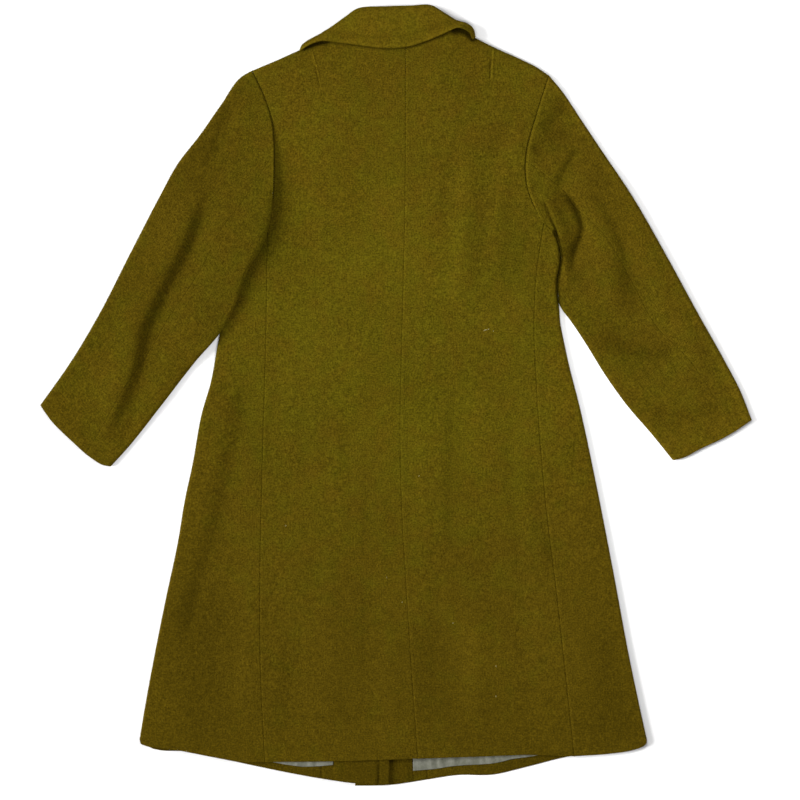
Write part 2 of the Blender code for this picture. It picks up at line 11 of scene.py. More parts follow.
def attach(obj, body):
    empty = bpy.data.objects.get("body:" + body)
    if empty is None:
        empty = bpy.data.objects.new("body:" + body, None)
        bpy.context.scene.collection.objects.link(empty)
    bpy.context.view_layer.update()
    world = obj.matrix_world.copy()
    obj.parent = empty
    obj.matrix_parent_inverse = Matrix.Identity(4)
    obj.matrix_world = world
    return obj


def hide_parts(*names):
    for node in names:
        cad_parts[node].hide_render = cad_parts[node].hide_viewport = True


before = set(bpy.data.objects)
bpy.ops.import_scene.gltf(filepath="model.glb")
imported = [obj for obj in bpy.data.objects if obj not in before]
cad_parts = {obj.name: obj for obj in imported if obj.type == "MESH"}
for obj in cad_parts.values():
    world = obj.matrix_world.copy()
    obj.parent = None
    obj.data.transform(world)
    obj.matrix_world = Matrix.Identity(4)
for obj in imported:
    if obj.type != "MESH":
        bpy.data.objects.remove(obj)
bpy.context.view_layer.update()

bl_info = {
    "name": "Laid-out wool coat",
    "version": (1, 0, 0),
    "blender": (4, 5, 0),
    "location": "View3D > Sidebar > Coat",
    "description": "Makes the cloth, seams, nap and stage of a wool coat laid out flat",
    "category": "Object",
}

BODY = "root"

# Heights above the floor and the rolled edge of the solids, metres
GAP = 0.0003
BACK_TOP = 0.0072
CROWN = 0.0056
CROWN_WIDTH = 0.150
COLLAR_LIFT = 0.0023
LEAF_REACH = (0.045, 0.075)
LAP_SLOPE = (-0.200, -0.040)
ROLL = 0.006
COLLAR_BEND = 0.0006
FRONT_BEND = 0.0004
NECK_ROOM = 0.0008
FRONT_NECK_ROOM = 0.0022
DEEPEST_DENT = -0.0012
SLEEVE_SPACE = 0.0004
SOFT_STOP = 0.0006

# Plan of the back: points run from the neck or shoulder down to the hem, x across and y up the coat
CENTRE_SEAM = ((0.014, 0.519), (0.013, 0.278), (0.008, 0.065), (0.006, -0.042), (0.008, -0.148),
               (0.018, -0.326), (0.031, -0.515))
LEFT_SIDE_SEAM = ((-0.1825, 0.238), (-0.184, 0.107), (-0.189, -0.077), (-0.193, -0.290),
                  (-0.192, -0.390), (-0.186, -0.520))
RIGHT_SIDE_SEAM = ((0.210, 0.244), (0.200, 0.178), (0.196, 0.107), (0.199, 0.022), (0.212, -0.148),
                   (0.229, -0.290), (0.253, -0.512))
LEFT_ARMHOLE = ((-0.204, 0.461), (-0.187, 0.425), (-0.176, 0.390), (-0.173, 0.357), (-0.173, 0.320),
                (-0.176, 0.271), (-0.1825, 0.238))
RIGHT_ARMHOLE = ((0.217, 0.454), (0.199, 0.398), (0.185, 0.346), (0.183, 0.320), (0.186, 0.296),
                 (0.195, 0.271), (0.210, 0.244))
LEFT_EDGE = ((-0.199, 0.208), (-0.222, 0.160), (-0.247, 0.100), (-0.253, 0.072), (-0.263, 0.018),
             (-0.275, -0.023), (-0.289, -0.099), (-0.2996, -0.148), (-0.309, -0.205), (-0.327, -0.290),
             (-0.352, -0.418), (-0.364, -0.488))
RIGHT_EDGE = ((0.2235, 0.2322), (0.2302, 0.2187), (0.2334, 0.2053), (0.2344, 0.1925), (0.2327, 0.1800),
              (0.2302, 0.1680), (0.2292, 0.1540), (0.2302, 0.1398), (0.2318, 0.1220), (0.2330, 0.1047),
              (0.2379, 0.0788), (0.244, 0.050), (0.260, -0.013), (0.283, -0.120), (0.308, -0.248),
              (0.332, -0.376), (0.350, -0.461), (0.356, -0.488))
LEFT_NECK = ((-0.132, 0.492), (-0.122, 0.4992), (-0.109, 0.5050), (-0.087, 0.512), (-0.051, 0.518),
             (0.014, 0.519))
RIGHT_NECK = ((0.014, 0.519), (0.070, 0.523), (0.094, 0.522), (0.111, 0.508))
LEFT_SHOULDER = ((-0.204, 0.461), (-0.168, 0.476), (-0.148, 0.485), (-0.132, 0.492))
RIGHT_SHOULDER = ((0.111, 0.508), (0.141, 0.493), (0.179, 0.476), (0.199, 0.466), (0.217, 0.454))
LEFT_SIDE_HEM = ((-0.364, -0.488), (-0.3622, -0.494), (-0.3557, -0.497), (-0.341, -0.4992),
                 (-0.3215, -0.5015), (-0.2995, -0.5055), (-0.2506, -0.515), (-0.226, -0.5195),
                 (-0.186, -0.520))
LEFT_HEM = ((-0.186, -0.520), (-0.091, -0.519), (0.031, -0.515))
RIGHT_HEM = ((0.031, -0.515), (0.129, -0.512), (0.187, -0.510), (0.253, -0.512))
RIGHT_SIDE_HEM = ((0.253, -0.512), (0.307, -0.508), (0.3323, -0.5044), (0.3449, -0.5006), (0.3526, -0.4969),
                  (0.3557, -0.4927), (0.356, -0.488))

# Plan of the fronts, which lap at the middle
LEFT_FRONT_NECK = ((-0.132, 0.492), (-0.108, 0.441), (-0.062, 0.403), (0.011, 0.386))
RIGHT_FRONT_NECK = ((-0.024, 0.386), (0.041, 0.403), (0.088, 0.448), (0.111, 0.508))
LEFT_FRONT_EDGE = ((0.011, 0.386), (-0.009, -0.552))
RIGHT_FRONT_EDGE = ((-0.024, 0.386), (-0.058, -0.554))
LEFT_FRONT_HEM = ((-0.364, -0.488), (-0.3555, -0.496), (-0.293, -0.506), (-0.206, -0.5245),
                  (-0.149, -0.536), (-0.104, -0.544), (-0.062, -0.550), (-0.009, -0.552))
RIGHT_FRONT_HEM = ((-0.058, -0.554), (-0.011, -0.553), (0.045, -0.545), (0.084, -0.539), (0.139, -0.538),
                   (0.180, -0.5285), (0.251, -0.5115), (0.307, -0.5065), (0.3449, -0.4995), (0.356, -0.488))
# Rows of the lap: y, how far the left front stands above the floor there
LAP_RISE = ((-0.600, 0.0045), (0.150, 0.0045), (0.250, 0.0036), (0.390, 0.0036), (0.440, 0.0))
# Shares across each front where facing and lining begin or end, and share down where both begin
LEFT_FACING_FROM = 0.777
RIGHT_FACING_TO = 0.193
LEFT_LINING_FROM = 0.150
RIGHT_LINING_TO = 0.850
INSIDE_FROM = 0.300
# Rows of the lining: x at the hem, how far the lining stays above the front's hem
LEFT_LINING_RISE = ((-0.320, 0.0105), (-0.158, 0.0105), (-0.133, 0.0120), (-0.109, 0.0170), (-0.090, 0.0218))
RIGHT_LINING_RISE = ((0.024, 0.0154), (0.058, 0.0130), (0.091, 0.0133), (0.127, 0.0160), (0.165, 0.0167),
                     (0.198, 0.0131), (0.300, 0.0131))
EDGE_SETBACK = 0.0010

# Plan of the sleeves, from armhole to cuff
LEFT_SLEEVE_ARMHOLE = ((-0.204, 0.461), (-0.187, 0.425), (-0.176, 0.390), (-0.173, 0.357), (-0.173, 0.320),
                       (-0.174, 0.292))
LEFT_SLEEVE_OUTER = ((-0.204, 0.461), (-0.217, 0.454), (-0.248, 0.413), (-0.278, 0.370), (-0.311, 0.327),
                     (-0.334, 0.285), (-0.378, 0.200), (-0.422, 0.114), (-0.460, 0.050), (-0.505, -0.014))
LEFT_SLEEVE_INNER = ((-0.174, 0.292), (-0.177, 0.256), (-0.187, 0.218), (-0.210, 0.177), (-0.233, 0.117),
                     (-0.250, 0.088), (-0.283, 0.050), (-0.332, -0.013), (-0.383, -0.077), (-0.405, -0.101))
LEFT_CUFF = ((-0.505, -0.014), (-0.490, -0.035), (-0.460, -0.065), (-0.435, -0.087), (-0.415, -0.099),
             (-0.405, -0.101))
RIGHT_SLEEVE_ARMHOLE = ((0.217, 0.454), (0.199, 0.398), (0.185, 0.346), (0.183, 0.320), (0.186, 0.296),
                        (0.195, 0.271), (0.210, 0.244), (0.2238, 0.2326))
RIGHT_SLEEVE_OUTER = ((0.217, 0.454), (0.234, 0.434), (0.263, 0.391), (0.291, 0.349), (0.334, 0.285),
                      (0.383, 0.200), (0.430, 0.114), (0.466, 0.050), (0.488, 0.008), (0.505, -0.035))
RIGHT_SLEEVE_INNER = ((0.2238, 0.2326), (0.2303, 0.2187), (0.2335, 0.2053), (0.2345, 0.1925),
                      (0.2328, 0.1800), (0.2303, 0.1680), (0.2293, 0.1540), (0.2305, 0.1398),
                      (0.2312, 0.1310), (0.2345, 0.1240), (0.2460, 0.1085),
                      (0.2661, 0.0788), (0.297, 0.029), (0.327, -0.013), (0.364, -0.056), (0.393, -0.092))
RIGHT_CUFF = ((0.505, -0.035), (0.473, -0.056), (0.430, -0.077), (0.406, -0.089), (0.393, -0.092))
# Rows of the elbow seam: share down the sleeve, share across from the outer edge
LEFT_ELBOW_SEAM = ((0.0, 0.720), (0.20, 0.630), (0.35, 0.605), (0.52, 0.585), (0.68, 0.605), (0.83, 0.610),
                   (1.0, 0.700))
RIGHT_ELBOW_SEAM = ((0.0, 0.525), (0.06, 0.565), (0.11, 0.555), (0.30, 0.385), (0.50, 0.380), (0.63, 0.390),
                    (0.77, 0.290), (0.90, 0.265), (1.0, 0.225))
FOREARM_SEAM = 0.82
SLEEVE_HOLD = 0.14
# The left sleeve's inner side lies on the body: lift below, lift above, shares across, shares down
LEFT_SLEEVE_LIFT = (0.0095, 0.0072)
RIGHT_SLEEVE_LIFT = (0.0, 0.0)
LIFT_ACROSS = (0.70, 0.90)
TOP_LIFT_ACROSS = (0.25, 0.95)
LIFT_DOWN = (0.50, 0.64)

# Rows of the collar: share along the neckline, roll x, y, outer edge x, y, lift of that edge
COLLAR_ROWS = ((0.02, -0.134, 0.497, -0.138, 0.487, 0.002),
               (0.08, -0.125, 0.504, -0.121, 0.4972, 0.005),
               (0.16, -0.108, 0.513, -0.103, 0.502, 0.005),
               (0.26, -0.089, 0.525, -0.075, 0.499, 0.001),
               (0.34, -0.071, 0.538, -0.051, 0.496, 0.000),
               (0.44, -0.051, 0.550, -0.028, 0.493, 0.000),
               (0.54, -0.016, 0.552, -0.006, 0.492, 0.000),
               (0.64, 0.020, 0.553, 0.017, 0.494, 0.000),
               (0.74, 0.048, 0.554, 0.040, 0.501, 0.000),
               (0.81, 0.067, 0.544, 0.060, 0.509, 0.001),
               (0.88, 0.085, 0.533, 0.075, 0.516, 0.004),
               (0.93, 0.101, 0.528, 0.088, 0.521, 0.007),
               (0.96, 0.110, 0.520, 0.1022, 0.5155, 0.005),
               (0.98, 0.1132, 0.508, 0.1082, 0.5045, 0.002))
# Rows of the collar's front ends: share along the front neckline, roll x, y, outer edge x, y
LEFT_LEAF_ROWS = ((0.06, -0.121, 0.491, -0.139, 0.478),
                  (0.32, -0.102, 0.447, -0.136, 0.422),
                  (0.58, -0.064, 0.413, -0.105, 0.363),
                  (0.76, -0.032, 0.404, -0.068, 0.333))
RIGHT_LEAF_ROWS = ((0.94, 0.098, 0.501, 0.118, 0.489),
                   (0.68, 0.081, 0.454, 0.118, 0.427),
                   (0.42, 0.045, 0.419, 0.088, 0.366),
                   (0.26, 0.019, 0.405, 0.050, 0.333))

# Rows of creases: start x, y, bend x, y, end x, y, width, rise (a trough's is below zero)
BACK_CREASES = (
    (-0.204, -0.234, -0.209, -0.361, -0.214, -0.496, 0.0199, 0.0010),
    (0.241, -0.205, 0.270, -0.347, 0.290, -0.489, 0.0312, 0.0014),
    (0.108, -0.248, 0.112, -0.361, 0.116, -0.482, 0.0213, 0.0012),
    (-0.094, -0.205, -0.088, -0.347, -0.094, -0.496, 0.0199, 0.0012),
    (-0.034, -0.234, -0.037, -0.361, -0.034, -0.496, 0.0170, -0.0009),
    (0.062, -0.234, 0.057, -0.361, 0.048, -0.496, 0.0142, -0.0010),
    (0.176, -0.234, 0.185, -0.361, 0.190, -0.496, 0.0199, -0.0012),
    (-0.136, -0.234, -0.141, -0.361, -0.142, -0.496, 0.0170, -0.0010),
    (-0.094, 0.462, -0.072, 0.349, -0.087, 0.192, 0.0369, 0.0015),
    (-0.136, 0.391, -0.129, 0.292, -0.136, 0.136, 0.0256, -0.0009),
    (0.176, 0.427, 0.172, 0.349, 0.170, 0.278, 0.0128, 0.0014),
    (0.048, 0.136, 0.119, 0.110, 0.190, 0.136, 0.0170, -0.0008),
    (-0.136, 0.093, -0.065, 0.072, 0.006, 0.093, 0.0170, -0.0006))
# The shoulder darts are narrow creases that run from the neck or shoulder and die out in the back
DARTS = ((-0.1150, 0.4707, -0.1115, 0.4551, -0.1079, 0.4367, 0.0011, -0.0007),
         (-0.1193, 0.4892, -0.1129, 0.4693, -0.1065, 0.4395, 0.0013, 0.0008),
         (0.1346, 0.4793, 0.1338, 0.4622, 0.1332, 0.4466, 0.0011, -0.0007),
         (0.1389, 0.4920, 0.1372, 0.4707, 0.1360, 0.4480, 0.0013, 0.0007))
# Rows of sleeve folds: points down the fold, width left and right of it, rise (a valley's is below zero)
LEFT_SLEEVE_FOLDS = (
    (((-0.2698, 0.3117), (-0.2840, 0.2705), (-0.3053, 0.2137), (-0.3380, 0.1498), (-0.3649, 0.0930),
     (-0.3763, 0.0391), (-0.3990, -0.0206), (-0.4303, -0.0774)), 0.0300, 0.0110, 0.0080),
    (((-0.2073, 0.3486), (-0.2329, 0.2464), (-0.2684, 0.1569), (-0.3039, 0.0859), (-0.3408, 0.0149),
     (-0.3749, -0.0462)), 0.0340, 0.0320, 0.0030),
    (((-0.2670, 0.2918), (-0.2741, 0.2691), (-0.2925, 0.2137), (-0.3252, 0.1498), (-0.3507, 0.0930),
     (-0.3621, 0.0391), (-0.3790, -0.0035), (-0.4000, -0.0480)), 0.0080, 0.0080, -0.0038),
    (((-0.2300, 0.4139), (-0.2371, 0.3969), (-0.2485, 0.3685), (-0.2613, 0.3387), (-0.2698, 0.3202)),
     0.0055, 0.0060, -0.0040),
    (((-0.3181, 0.1129), (-0.3309, 0.0703), (-0.3422, 0.0334), (-0.3550, -0.0036)),
     0.0050, 0.0050, -0.0010),
    (((-0.3692, -0.0234), (-0.3806, -0.0518), (-0.3919, -0.0802)), 0.0050, 0.0050, -0.0012),
    (((-0.1761, 0.3117), (-0.1832, 0.2691), (-0.1960, 0.2237), (-0.2130, 0.1839), (-0.2258, 0.1527),
     (-0.2371, 0.1271)), 0.0200, 0.0080, 0.0024))
RIGHT_SLEEVE_FOLDS = (
    (((0.2031, 0.2918), (0.2144, 0.2705), (0.2272, 0.2421), (0.2343, 0.2137), (0.2386, 0.1839),
     (0.2471, 0.1498)), 0.0050, 0.0140, 0.0046),
    (((0.2584, 0.3486), (0.2868, 0.2776), (0.3025, 0.2208), (0.3067, 0.1640), (0.3124, 0.1001)),
     0.0280, 0.0220, 0.0040),
    (((0.2897, 0.3401), (0.3351, 0.2563), (0.3720, 0.1782), (0.4090, 0.1001), (0.4459, 0.0163)),
     0.0240, 0.0220, 0.0038),
    (((0.2215, 0.3003), (0.2414, 0.2847), (0.2542, 0.2705), (0.2634, 0.2535), (0.2670, 0.2364),
     (0.2627, 0.2208), (0.2556, 0.2080), (0.2513, 0.1910), (0.2528, 0.1697)), 0.0062, 0.0040, -0.0038),
    (((0.2045, 0.2819), (0.2116, 0.2691), (0.2201, 0.2506), (0.2272, 0.2350), (0.2315, 0.2194)),
     0.0014, 0.0014, -0.0040),
    (((0.1903, 0.3458), (0.2116, 0.3586), (0.2300, 0.3671), (0.2528, 0.3784)), 0.0050, 0.0050, -0.0034),
    (((0.2073, 0.3713), (0.2229, 0.3912), (0.2357, 0.4083), (0.2485, 0.4253)), 0.0065, 0.0060, -0.0036),
    (((0.2286, 0.2975), (0.2371, 0.3145), (0.2457, 0.3301), (0.2570, 0.3500)), 0.0035, 0.0035, -0.0034),
    (((0.2670, 0.3117), (0.2897, 0.2776), (0.3110, 0.2407), (0.3238, 0.2066), (0.3280, 0.1711),
     (0.3422, 0.1356), (0.3607, 0.1001)), 0.0085, 0.0075, -0.0018),
    (((0.2954, 0.0859), (0.3323, 0.0660), (0.3678, 0.0589), (0.4061, 0.0660)), 0.0080, 0.0080, -0.0032),
    (((0.3635, -0.0234), (0.4033, -0.0319), (0.4388, -0.0234), (0.4658, -0.0106)),
     0.0080, 0.0080, -0.0030),
    (((0.2897, 0.0476), (0.3465, 0.0249), (0.4090, 0.0220), (0.4544, 0.0391)), 0.0160, 0.0160, 0.0014))
FOLD_STEPS = 30
FOLD_ENDS = 0.18
VALLEY_ROUND = 0.35
# Painted shade in the sleeves' fold valleys: darkening of the cloth for each metre of a valley's depth
VALLEY_SHADE = 40.0
# Rows of painted streaks of light and shade, and of painted shadows: points down them, width left and right,
# tone (below zero if dark); the painted streaks of the back are low ridges and troughs as well
SHADING_STREAKS = (
    (((0.0923, 0.3543), (0.0930, 0.2918), (0.0902, 0.2265), (0.0824, 0.1498), (0.0767, 0.1157)),
     0.0099, 0.0099, 0.32),
    (((0.1718, 0.4480), (0.1590, 0.3841), (0.1292, 0.3372), (0.1193, 0.2634), (0.1115, 0.1626),
     (0.1065, 0.1143)), 0.0128, 0.0128, -0.26),
    (((0.1605, 0.3543), (0.1434, 0.2733), (0.1321, 0.1953), (0.1250, 0.1242)), 0.0057, 0.0057, 0.10),
    (((0.1661, 0.3557), (0.1619, 0.2634), (0.1590, 0.2265), (0.1477, 0.1441)), 0.0092, 0.0092, -0.24),
    (((0.1874, 0.2520), (0.1747, 0.1953), (0.1548, 0.1385)), 0.0078, 0.0078, -0.22),
    (((0.0809, 0.3486), (0.0667, 0.2847), (0.0639, 0.2322)), 0.0071, 0.0071, -0.20),
    (((-0.2173, 0.0433), (-0.2229, -0.0206), (-0.2357, -0.0873), (-0.2542, -0.1725), (-0.2783, -0.2506),
     (-0.2939, -0.3074), (-0.3096, -0.3756)), 0.0170, 0.0090, -0.52),
    (((-0.2613, -0.2549), (-0.2712, -0.3614), (-0.2783, -0.5006)), 0.0369, 0.0369, -0.28),
    (((-0.2272, -0.0206), (-0.2130, -0.2336), (-0.2116, -0.3472), (-0.2130, -0.4395),
     (-0.2215, -0.5034)), 0.0128, 0.0128, 0.10),
    (((-0.1534, -0.3358), (-0.1590, -0.4182), (-0.1661, -0.5091)), 0.0128, 0.0128, -0.22),
    (((-0.1392, -0.0277), (-0.1377, -0.0774), (-0.1363, -0.1285)), 0.0064, 0.0064, -0.16),
    (((-0.0753, -0.0263), (-0.0738, -0.0774), (-0.0767, -0.1456)), 0.0071, 0.0071, -0.20),
    (((-0.0440, -0.0547), (-0.0426, -0.1342), (-0.0454, -0.2421)), 0.0050, 0.0050, -0.15),
    (((-0.0469, -0.2563), (-0.0454, -0.3188), (-0.0497, -0.3841)), 0.0050, 0.0050, -0.15),
    (((0.0738, 0.0050), (0.0767, -0.0774), (0.0753, -0.1484), (0.0738, -0.2364)), 0.0071, 0.0071, -0.30),
    (((0.1576, -0.0405), (0.1576, -0.0987), (0.1619, -0.1555), (0.1732, -0.2648)),
     0.0071, 0.0071, -0.20),
    (((0.1931, -0.0973), (0.2002, -0.1555), (0.2130, -0.2123), (0.2201, -0.2563)),
     0.0099, 0.0099, -0.30),
    (((0.2954, -0.3117), (0.3039, -0.4182), (0.3096, -0.5062)), 0.0341, 0.0341, -0.30),
    (((0.0582, -0.3046), (0.0582, -0.3898), (0.0639, -0.4722)), 0.0227, 0.0227, -0.20),
    (((0.1108, -0.3046), (0.1079, -0.3898), (0.1008, -0.4778)), 0.0199, 0.0199, 0.24),
    (((-0.1221, -0.2194), (-0.1221, -0.2620), (-0.1250, -0.3160)), 0.0071, 0.0071, -0.14),
    (((0.0284, 0.0050), (0.0312, -0.1200), (0.0312, -0.2478)), 0.0128, 0.0128, 0.10),
    (((0.1079, 0.0220), (0.1108, -0.0277), (0.1193, -0.1342)), 0.0170, 0.0170, 0.16),
    (((-0.1704, -0.4537), (-0.0937, -0.4580), (0.0312, -0.4537)), 0.0043, 0.0043, -0.14),
    (((0.0028, 0.3273), (-0.0028, 0.2279), (0.0014, 0.1214)), 0.0653, 0.0653, 0.15))
BACK_SHADOWS = (
    (((-0.1377, 0.4912), (-0.1306, 0.4926), (-0.1235, 0.4943), (-0.1164, 0.4963), (-0.1093, 0.4986),
     (-0.1008, 0.5003), (-0.0909, 0.5003)), 0.0024, 0.0024, -1.50),
    (((0.0753, 0.5148), (0.0838, 0.5159), (0.0923, 0.5162), (0.0994, 0.5130), (0.1051, 0.5091),
     (0.1108, 0.5062), (0.1193, 0.5027)), 0.0046, 0.0036, -1.70),
    (((-0.1818, 0.3486), (-0.1754, 0.2989), (-0.1739, 0.2705), (-0.1761, 0.2421), (-0.1832, 0.2180),
     (-0.1960, 0.1896), (-0.2116, 0.1583), (-0.2244, 0.1299), (-0.2442, 0.0902)), 0.0128, 0.0128, -0.50),
    (((-0.1548, 0.2847), (-0.1590, 0.2563), (-0.1661, 0.2279), (-0.1761, 0.2038), (-0.1931, 0.1782)),
     0.0114, 0.0114, -0.34))
SLEEVE_SHADOWS = (
    (((0.2329, 0.2947), (0.2442, 0.2819), (0.2528, 0.2677), (0.2591, 0.2528), (0.2627, 0.2364),
     (0.2584, 0.2208), (0.2535, 0.2066), (0.2513, 0.1867)), 0.0062, 0.0034, -1.00),
    (((0.2059, 0.2833), (0.2130, 0.2677), (0.2201, 0.2506), (0.2272, 0.2336), (0.2329, 0.2165)),
     0.0027, 0.0017, -1.00),
    (((-0.2712, 0.2805), (-0.2812, 0.2464), (-0.2954, 0.2137), (-0.3280, 0.1498), (-0.3536, 0.0930),
     (-0.3649, 0.0362), (-0.3919, -0.0234)), 0.0142, 0.0099, -0.30),
    (((0.2528, 0.4367), (0.2386, 0.4139), (0.2244, 0.3898), (0.2087, 0.3685)), 0.0128, 0.0114, -0.30),
    (((0.1874, 0.3401), (0.2116, 0.3543), (0.2329, 0.3657), (0.2584, 0.3827)), 0.0099, 0.0099, -0.28),
    (((0.2599, 0.3571), (0.2457, 0.3301), (0.2357, 0.3117), (0.2258, 0.2876)), 0.0057, 0.0057, -0.34),
    (((0.2670, 0.3174), (0.2925, 0.2733), (0.3110, 0.2379), (0.3223, 0.2066), (0.3280, 0.1711),
     (0.3465, 0.1242)), 0.0128, 0.0114, -0.22),
    (((0.2868, 0.0902), (0.3323, 0.0646), (0.3678, 0.0589), (0.4175, 0.0703)), 0.0142, 0.0142, -0.30),
    (((0.3578, -0.0206), (0.4061, -0.0334), (0.4430, -0.0234), (0.4743, -0.0064)),
     0.0128, 0.0128, -0.28),
    (((-0.4274, 0.0007), (-0.4345, -0.0348), (-0.4374, -0.0717)), 0.0114, 0.0114, -0.20))
STREAK_RISE = 0.0012
# Tone of the wool inside the coat, which shows below the back's hem
INSIDE_TONE = -0.34
# Tone of the left and of the right sleeve at these shares down it
SLEEVE_TONE_DOWN = (0.45, 1.0)
SLEEVE_TONE = ((-0.30, 0.06), (-0.18, 0.16))
# Shadow under the collar's edge, on the back and on the edge itself: reach, tone
COLLAR_SHADOW = (0.0026, -1.15)
COLLAR_LIP = (0.0010, -1.3)
# Painted highlight along the outer edges at the right, of the sleeve and of the body: reach, tone
RIM_HIGHLIGHT = (0.0130, 0.50)
BODY_RIM_HIGHLIGHT = (0.0042, 0.45)
# Creases of the faces that lie on the floor, pressed up into the cloth
UNDER_CREASES = ((-0.210, 0.150, -0.150, 0.080, -0.070, 0.060, 0.010, 0.0009),
                 (0.210, 0.140, 0.140, 0.090, 0.070, 0.090, 0.009, 0.0008),
                 (-0.250, -0.120, -0.230, -0.300, -0.260, -0.440, 0.014, 0.0009),
                 (0.230, -0.100, 0.250, -0.280, 0.270, -0.430, 0.013, 0.0009),
                 (-0.120, -0.180, -0.110, -0.320, -0.125, -0.470, 0.011, 0.0007),
                 (0.120, -0.200, 0.115, -0.330, 0.130, -0.480, 0.012, 0.0008),
                 (-0.270, 0.310, -0.330, 0.180, -0.420, 0.000, 0.011, 0.0009),
                 (0.270, 0.300, 0.330, 0.170, 0.420, 0.010, 0.010, 0.0009),
                 (-0.330, 0.070, -0.370, 0.060, -0.410, 0.080, 0.008, 0.0007),
                 (0.320, 0.060, 0.370, 0.050, 0.420, 0.075, 0.008, 0.0007))
# Lines in the turned-up hems inside the fronts and on the left facing
HEM_LINES = ((-0.1060, -0.490, -0.1055, -0.525, -0.1050, -0.570, 0.0012, -0.0011),
             (0.0420, -0.500, 0.0440, -0.530, 0.0475, -0.570, 0.0012, -0.0011))
FACING_LINES = ((-0.0250, -0.470, -0.0256, -0.520, -0.0262, -0.600, 0.0011, -0.0012),)
# Crinkles of the lining where it shows
LINING_CREASES = ((-0.155, -0.500, -0.148, -0.515, -0.136, -0.530, 0.0040, 0.0007),
                  (-0.125, -0.500, -0.122, -0.515, -0.117, -0.530, 0.0035, 0.0008),
                  (-0.106, -0.500, -0.107, -0.515, -0.104, -0.535, 0.0030, 0.0006),
                  (0.028, -0.495, 0.031, -0.515, 0.040, -0.540, 0.0040, 0.0009),
                  (0.050, -0.495, 0.052, -0.515, 0.049, -0.540, 0.0034, 0.0008),
                  (0.063, -0.495, 0.062, -0.515, 0.067, -0.540, 0.0030, 0.0010),
                  (0.080, -0.495, 0.083, -0.510, 0.081, -0.535, 0.0040, 0.0009),
                  (0.101, -0.490, 0.099, -0.505, 0.105, -0.530, 0.0036, 0.0008),
                  (0.126, -0.490, 0.129, -0.505, 0.134, -0.525, 0.0045, 0.0008))
CREASE_STEPS = 12
CREASE_ENDS = 0.25
DART_ENDS = 0.12

# The collar's pressed line along its fall: distance from the edge, width, depth
COLLAR_LINE = (0.017, 0.0035, 0.0006)
# Painted light and shade on the collar's fall: lighter all over it, a painted highlight beside its edge
# (distance, reach, tone), painted shade on the pressed line
COLLAR_PAINTED_LIGHT = 0.35
COLLAR_EDGE_LIGHT = (0.0030, 0.0022, 0.3)
COLLAR_LINE_SHADE = -0.3

# Lint on the cloth: x, y, length, turn in degrees
LINT = ((0.1274, 0.0925, 0.0056, 10.0), (0.1313, 0.0938, 0.0026, 35.0), (0.1384, 0.0917, 0.0020, 140.0),
        (0.033, -0.114, 0.0024, 60.0), (-0.013, -0.258, 0.0022, 100.0), (0.009, -0.293, 0.0024, 80.0),
        (0.081, -0.323, 0.0022, 15.0), (0.142, -0.384, 0.0022, 95.0), (0.142, -0.427, 0.0024, 85.0),
        (-0.156, -0.185, 0.0022, 45.0))

# Marks close to an edge: where it is rolled over, sewn or left free
SEAM_MARKS = np.array((0.00004, 0.0003, 0.0006, 0.0010, 0.0015, 0.0022, 0.0032, 0.0045))
EDGE_RADIUS = 0.0013
EDGE_LEAST = 0.08
MARKS = {
    "roll": ROLL * (1.0 - np.cos(np.radians(np.linspace(0.0, 90.0, 10)))),
    "seam": SEAM_MARKS,
    "free": EDGE_RADIUS * (1.0 - np.cos(np.radians(np.linspace(0.0, 90.0, 6)))),
}
# Cloth over a seam allowance: distance in which it rises, distance in which it sinks again
PAD_RISE = 0.0018
PAD_REACH = 0.0070
# How strongly each seam shows, in the depth of its groove and in the painted shade along it
ARMHOLE_SHOWS = 0.8
CENTRE_SHOWS = 0.34
SIDE_SHOWS = 0.42
ELBOW_SHOWS = 0.25
# How many times the seam allowance's rise a sleeve steps up at the armhole and at the elbow seam
ARMHOLE_STEP = 2.0
ELBOW_STEP = 0.5
# Painted highlight on the right sleeve beside its armhole: distance, reach, tone
ARMHOLE_HIGHLIGHT = (0.0026, 0.0016, 0.55)
CORNER_FADE = 0.03
# The right sleeve lies against the body between these values of y; painted shade beside the fold
# on the body and on the sleeve: reach, tone
TUCKED = (0.122, 0.245)
TUCKED_FADE = 0.012
TUCKED_BODY_SHADE = (0.0032, -1.7)
TUCKED_SLEEVE_SHADE = (0.0024, -1.7)
EDGE_STEPS = 60
NO_SHOULDER = (0.5, 0.4)
SHOULDER_FADE = 0.04
# Where a mesh is closer: share of its span, width, strength
NO_FOCUS = ()
COLLAR_FOCUS = ((0.020, 0.016, 4.0),)
LEFT_DART_FOCUS = ((0.39, 0.035, 3.0),)
RIGHT_DART_FOCUS = ((0.60, 0.035, 3.0),)
LEFT_LINE_FOCUS = ((0.73, 0.02, 8.0),)
RIGHT_LINE_FOCUS = ((0.25, 0.02, 8.0),)
HEM_FOCUS = ((1.0, 0.05, 9.0),)
FOCUS_MARKS = 401

# Points across and round the collar
COLLAR_ALONG = 120
LEAF_ALONG = 40
STAND_POINTS = 5
TURN_POINTS = 14
FALL_POINTS = 26

# A facing is thinner at its inner edge: share of its thickness, reach
THIN_EDGE = (0.25, 0.008)

# Nap: lean of the fibres in degrees, their sizes, least upward share of a face that has it, room above it
NAP_LEAN = (66.0, 88.0)
NAP_SIZES = (0.55, 1.25)
FACES_UP = 0.35
FACE_ROOM = 0.0005
# Pieces with nap, and those of them that lie over others
NAPPED = ("back_centre_left", "back_centre_right", "back_side_left", "back_side_right",
          "sleeve_upper_left", "sleeve_under_left", "sleeve_upper_right", "sleeve_under_right", "collar")
COVERS = ("collar", "sleeve_under_left", "sleeve_upper_left")
# Share of the pitch that a stitch fills
STITCH_SHARE = 0.8

# Wool: scales of the weave, then scale, detail and roughness of each noise in the grain
WEAVE = (620.0, 110.0)
SPECKLE = (330.0, 3.0, 0.62)
FLECKS = (470.0, 1.0)
CLUMPS = (95.0, 2.0)
PATCHES = (32.0, 2.0, 0.55)
DRIFT = (7.0, 1.0)
